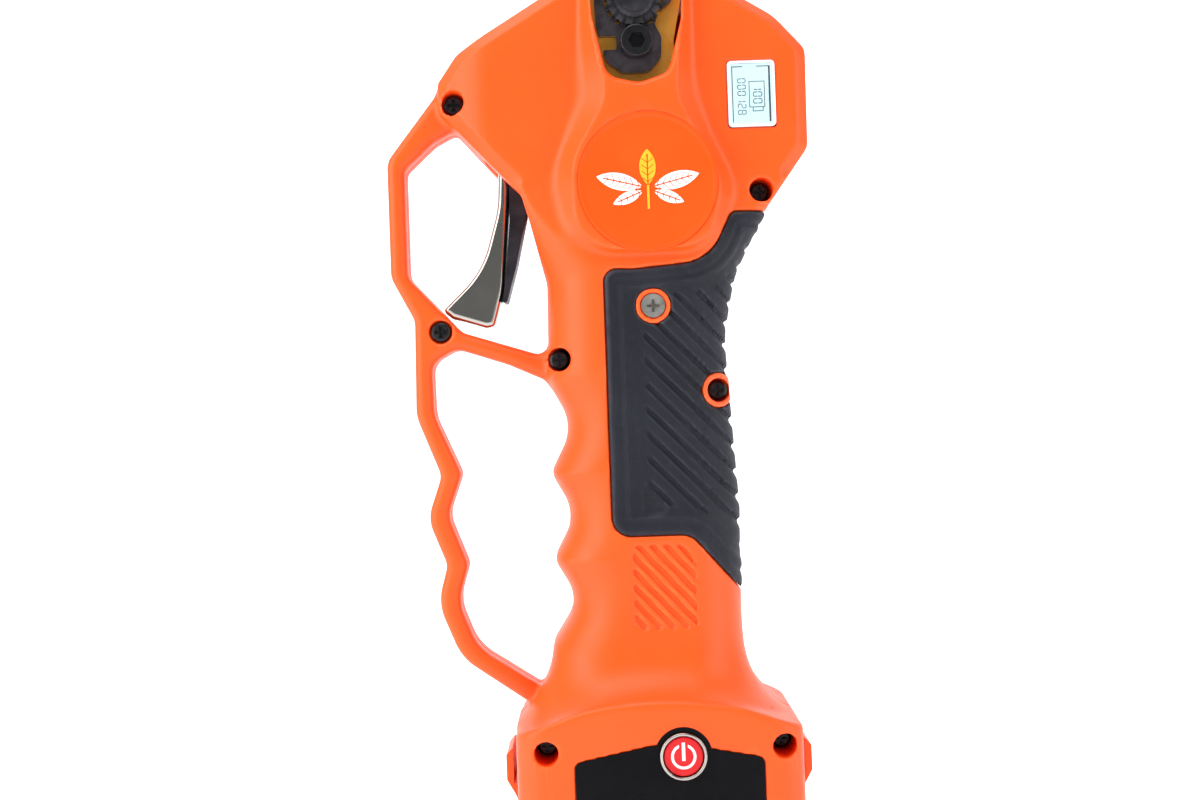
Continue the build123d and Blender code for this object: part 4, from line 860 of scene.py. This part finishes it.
def paint(target, material):
    target.data.materials.clear()
    target.data.materials.append(material)


def thin_out(made, most):
    """Fewer faces where the surface is flat, so that the mesh stays light."""
    triangles = 2 * len(made.data.polygons)
    if triangles <= most:
        return
    modifier = made.modifiers.new("thin_out", "DECIMATE")
    modifier.ratio = most / triangles
    modifier.use_collapse_triangulate = True
    bpy.context.view_layer.update()
    reduced = bpy.data.meshes.new_from_object(made.evaluated_get(bpy.context.evaluated_depsgraph_get()))
    made.modifiers.clear()
    made.data = reduced
    reduced.polygons.foreach_set("use_smooth", [True] * len(reduced.polygons))


def settle(made, body, finish, replaced=()):
    paint(made, finish)
    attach(made, body)
    if replaced:
        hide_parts(*replaced)


def build_object():
    finish = finishes()
    shells = build_shells()
    for made in shells.values():
        thin_out(made, 190000)
    settle(shells["housing_front"], "housing", finish["orange_plastic"], ["front_housing"])
    settle(shells["housing_rear"], "housing", finish["orange_plastic"], ["rear_housing"])
    settle(shells["grip_front"], "housing", finish["grip_rubber"], ["front_grip"])
    settle(shells["grip_rear"], "housing", finish["grip_rubber"], ["rear_grip"])

    lever = shape("lever", (-58, -4.8, 168), (-31, 4.8, 226), 0.3, lever_field)
    settle(lever, "trigger", finish["chrome_metal"], ["trigger_lever"])
    blade = shape("cutting_blade", (-13, -9.0, -19), (18.6, -5.5, 77), (0.4, 0.3, 0.4), blade_field, about_pivot(42.0))
    settle(blade, "blade", finish["blade_steel"], ["moving_blade"])
    hook = shape("anvil_hook", (-18.5, -11.4, -19), (9.5, -9.1, 80), (0.4, 0.3, 0.4), hook_field, about_pivot(0.0))
    settle(hook, "housing", finish["blade_steel"], ["hook_blade"])

    face = -SPINE_HALF - 0.25
    badge = lathe("badge_disc", BADGE_X, BADGE_Z, [
        (0, face + 0.05), (9.0, face + 0.05), (16.9, face + 0.05), (17.2, face + 0.05), (17.6, face - 0.06),
        (17.9, face - 0.16), (18.3, face - 0.18),
        (18.6, face - 0.08), (18.75, face + 0.22), (18.75, face + 0.9), (0, face + 0.9)])
    settle(badge, "housing", finish["badge_plastic"], ["front_badge"])
    leaves = shape("badge_leaves", (-13, -23.93, 198), (17, -23.6, 214), (0.11, 0.08, 0.11), leaf_pair_field)
    settle(leaves, "housing", finish["motif_white"])
    sprout = shape("badge_sprout", (-1, -23.95, 198.5), (5, -23.6, 216.5), (0.11, 0.08, 0.11), sprout_field)
    settle(sprout, "housing", finish["motif_yellow"])

    symbol_low = (BUTTON_X - 3.5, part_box("power_button")[0].y / MM - 0.09, BUTTON_Z - 3.5)
    symbol_high = (BUTTON_X + 3.5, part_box("power_button")[0].y / MM + 0.3, BUTTON_Z + 4.0)
    symbol = shape("power_symbol", symbol_low, symbol_high, (0.08, 0.05, 0.08), power_field)
    settle(symbol, "power_key", finish["white_plastic"])

    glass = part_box("lcd_window")[1].y / MM
    ink = stroke_plates("lcd_digits", lcd_strokes(), glass - 0.06, 0.05)
    settle(ink, "housing", finish["lcd_ink"])
    # dark plates that paint the shade in the gaps round the screen
    gap_shade_plates = stroke_plates("lcd_gap_shade", frame_shade_strokes(), glass - 0.10, 0.09)
    settle(gap_shade_plates, "housing", finish["painted_gap_shade"])

    for slot, names in NODE_FINISH.items():
        for name in names:
            paint(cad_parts[name], finish[slot])
            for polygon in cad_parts[name].data.polygons:
                polygon.material_index = 0


# ------------------------------------------------------------------ floor, light and camera
def build_stage():
    """Pale floor that curves up into a wall behind the object."""
    half, front, rear, bend, top = 4.0, -4.0, 1.0, 0.5, 2.2
    line = [(front, 0.0), (rear, 0.0)]
    for k in range(1, 17):
        a = math.pi / 2 * k / 16
        line.append((rear + bend * math.sin(a), bend * (1 - math.cos(a))))
    line.append((rear + bend, top))
    points = [(side * half, y, z) for y, z in line for side in (-1, 1)]
    faces = [(2 * k, 2 * k + 1, 2 * k + 3, 2 * k + 2) for k in range(len(line) - 1)]
    mesh = bpy.data.meshes.new("floor")
    mesh.from_pydata(points, [], faces)
    mesh.polygons.foreach_set("use_smooth", [True] * len(mesh.polygons))
    floor = bpy.data.objects.new("floor", mesh)
    bpy.context.scene.collection.objects.link(floor)
    paint(floor, node_material("floor_paper", (250, 250, 253), 0.85, grain=(300, 0.02), blotch=(2.2, 0.015),
                               glow=0.42))


def area_light(name, place, target, size, power, colour=(1, 1, 1)):
    data = bpy.data.lights.new(name, "AREA")
    data.shape = "RECTANGLE"
    data.size, data.size_y = size
    data.energy = power
    data.color = colour
    light = bpy.data.objects.new(name, data)
    light.location = place
    light.rotation_mode = "QUATERNION"
    light.rotation_quaternion = (Vector(target) - Vector(place)).to_track_quat("-Z", "Y")
    bpy.context.scene.collection.objects.link(light)


def build_light():
    world = bpy.data.worlds.new("studio")
    world.use_nodes = True
    nodes, links = world.node_tree.nodes, world.node_tree.links
    fill = nodes["Background"]
    fill.inputs["Color"].default_value = (0.93, 0.96, 1.0, 1.0)
    fill.inputs["Strength"].default_value = 0.27
    pale = nodes.new("ShaderNodeBackground")
    pale.inputs["Color"].default_value = (0.97, 0.975, 1.0, 1.0)
    pale.inputs["Strength"].default_value = 0.95
    path, mix = nodes.new("ShaderNodeLightPath"), nodes.new("ShaderNodeMixShader")
    links.new(path.outputs["Is Camera Ray"], mix.inputs["Fac"])
    links.new(fill.outputs["Background"], mix.inputs[1])
    links.new(pale.outputs["Background"], mix.inputs[2])
    links.new(mix.outputs["Shader"], nodes["World Output"].inputs["Surface"])
    bpy.context.scene.world = world
    aim = (0.0, 0.0, 0.15)
    area_light("left_panel", (-0.80, -0.42, 0.42), aim, (0.6, 0.9), 7.2)
    area_light("right_panel", (0.80, -0.40, 0.36), aim, (0.6, 0.9), 4.6)
    area_light("top_panel", (-0.20, -0.34, 1.0), aim, (0.9, 0.6), 6.5)
    area_light("wall_panel", (0.0, 0.55, 1.5), (0.0, 1.4, 0.3), (2.2, 0.8), 14.0)


def build_camera():
    data = bpy.data.cameras.new("camera")
    data.sensor_width = 36.0
    data.lens = 51.4
    data.clip_start, data.clip_end = 0.01, 20.0
    camera = bpy.data.objects.new("camera", data)
    roll = math.radians(2.0)
    right = Vector((math.cos(roll), 0, -math.sin(roll)))
    up = Vector((math.sin(roll), 0, math.cos(roll)))
    back = Vector((0, -1, 0))
    turn = Matrix((right, up, back)).transposed().to_4x4()
    camera.matrix_world = Matrix.Translation((-0.0128, -0.480, 0.1489)) @ turn
    bpy.context.scene.collection.objects.link(camera)
    bpy.context.scene.camera = camera


build_object()
build_stage()
build_light()
build_camera()
bpy.context.scene.view_settings.view_transform = "Standard"
bpy.context.view_layer.update()
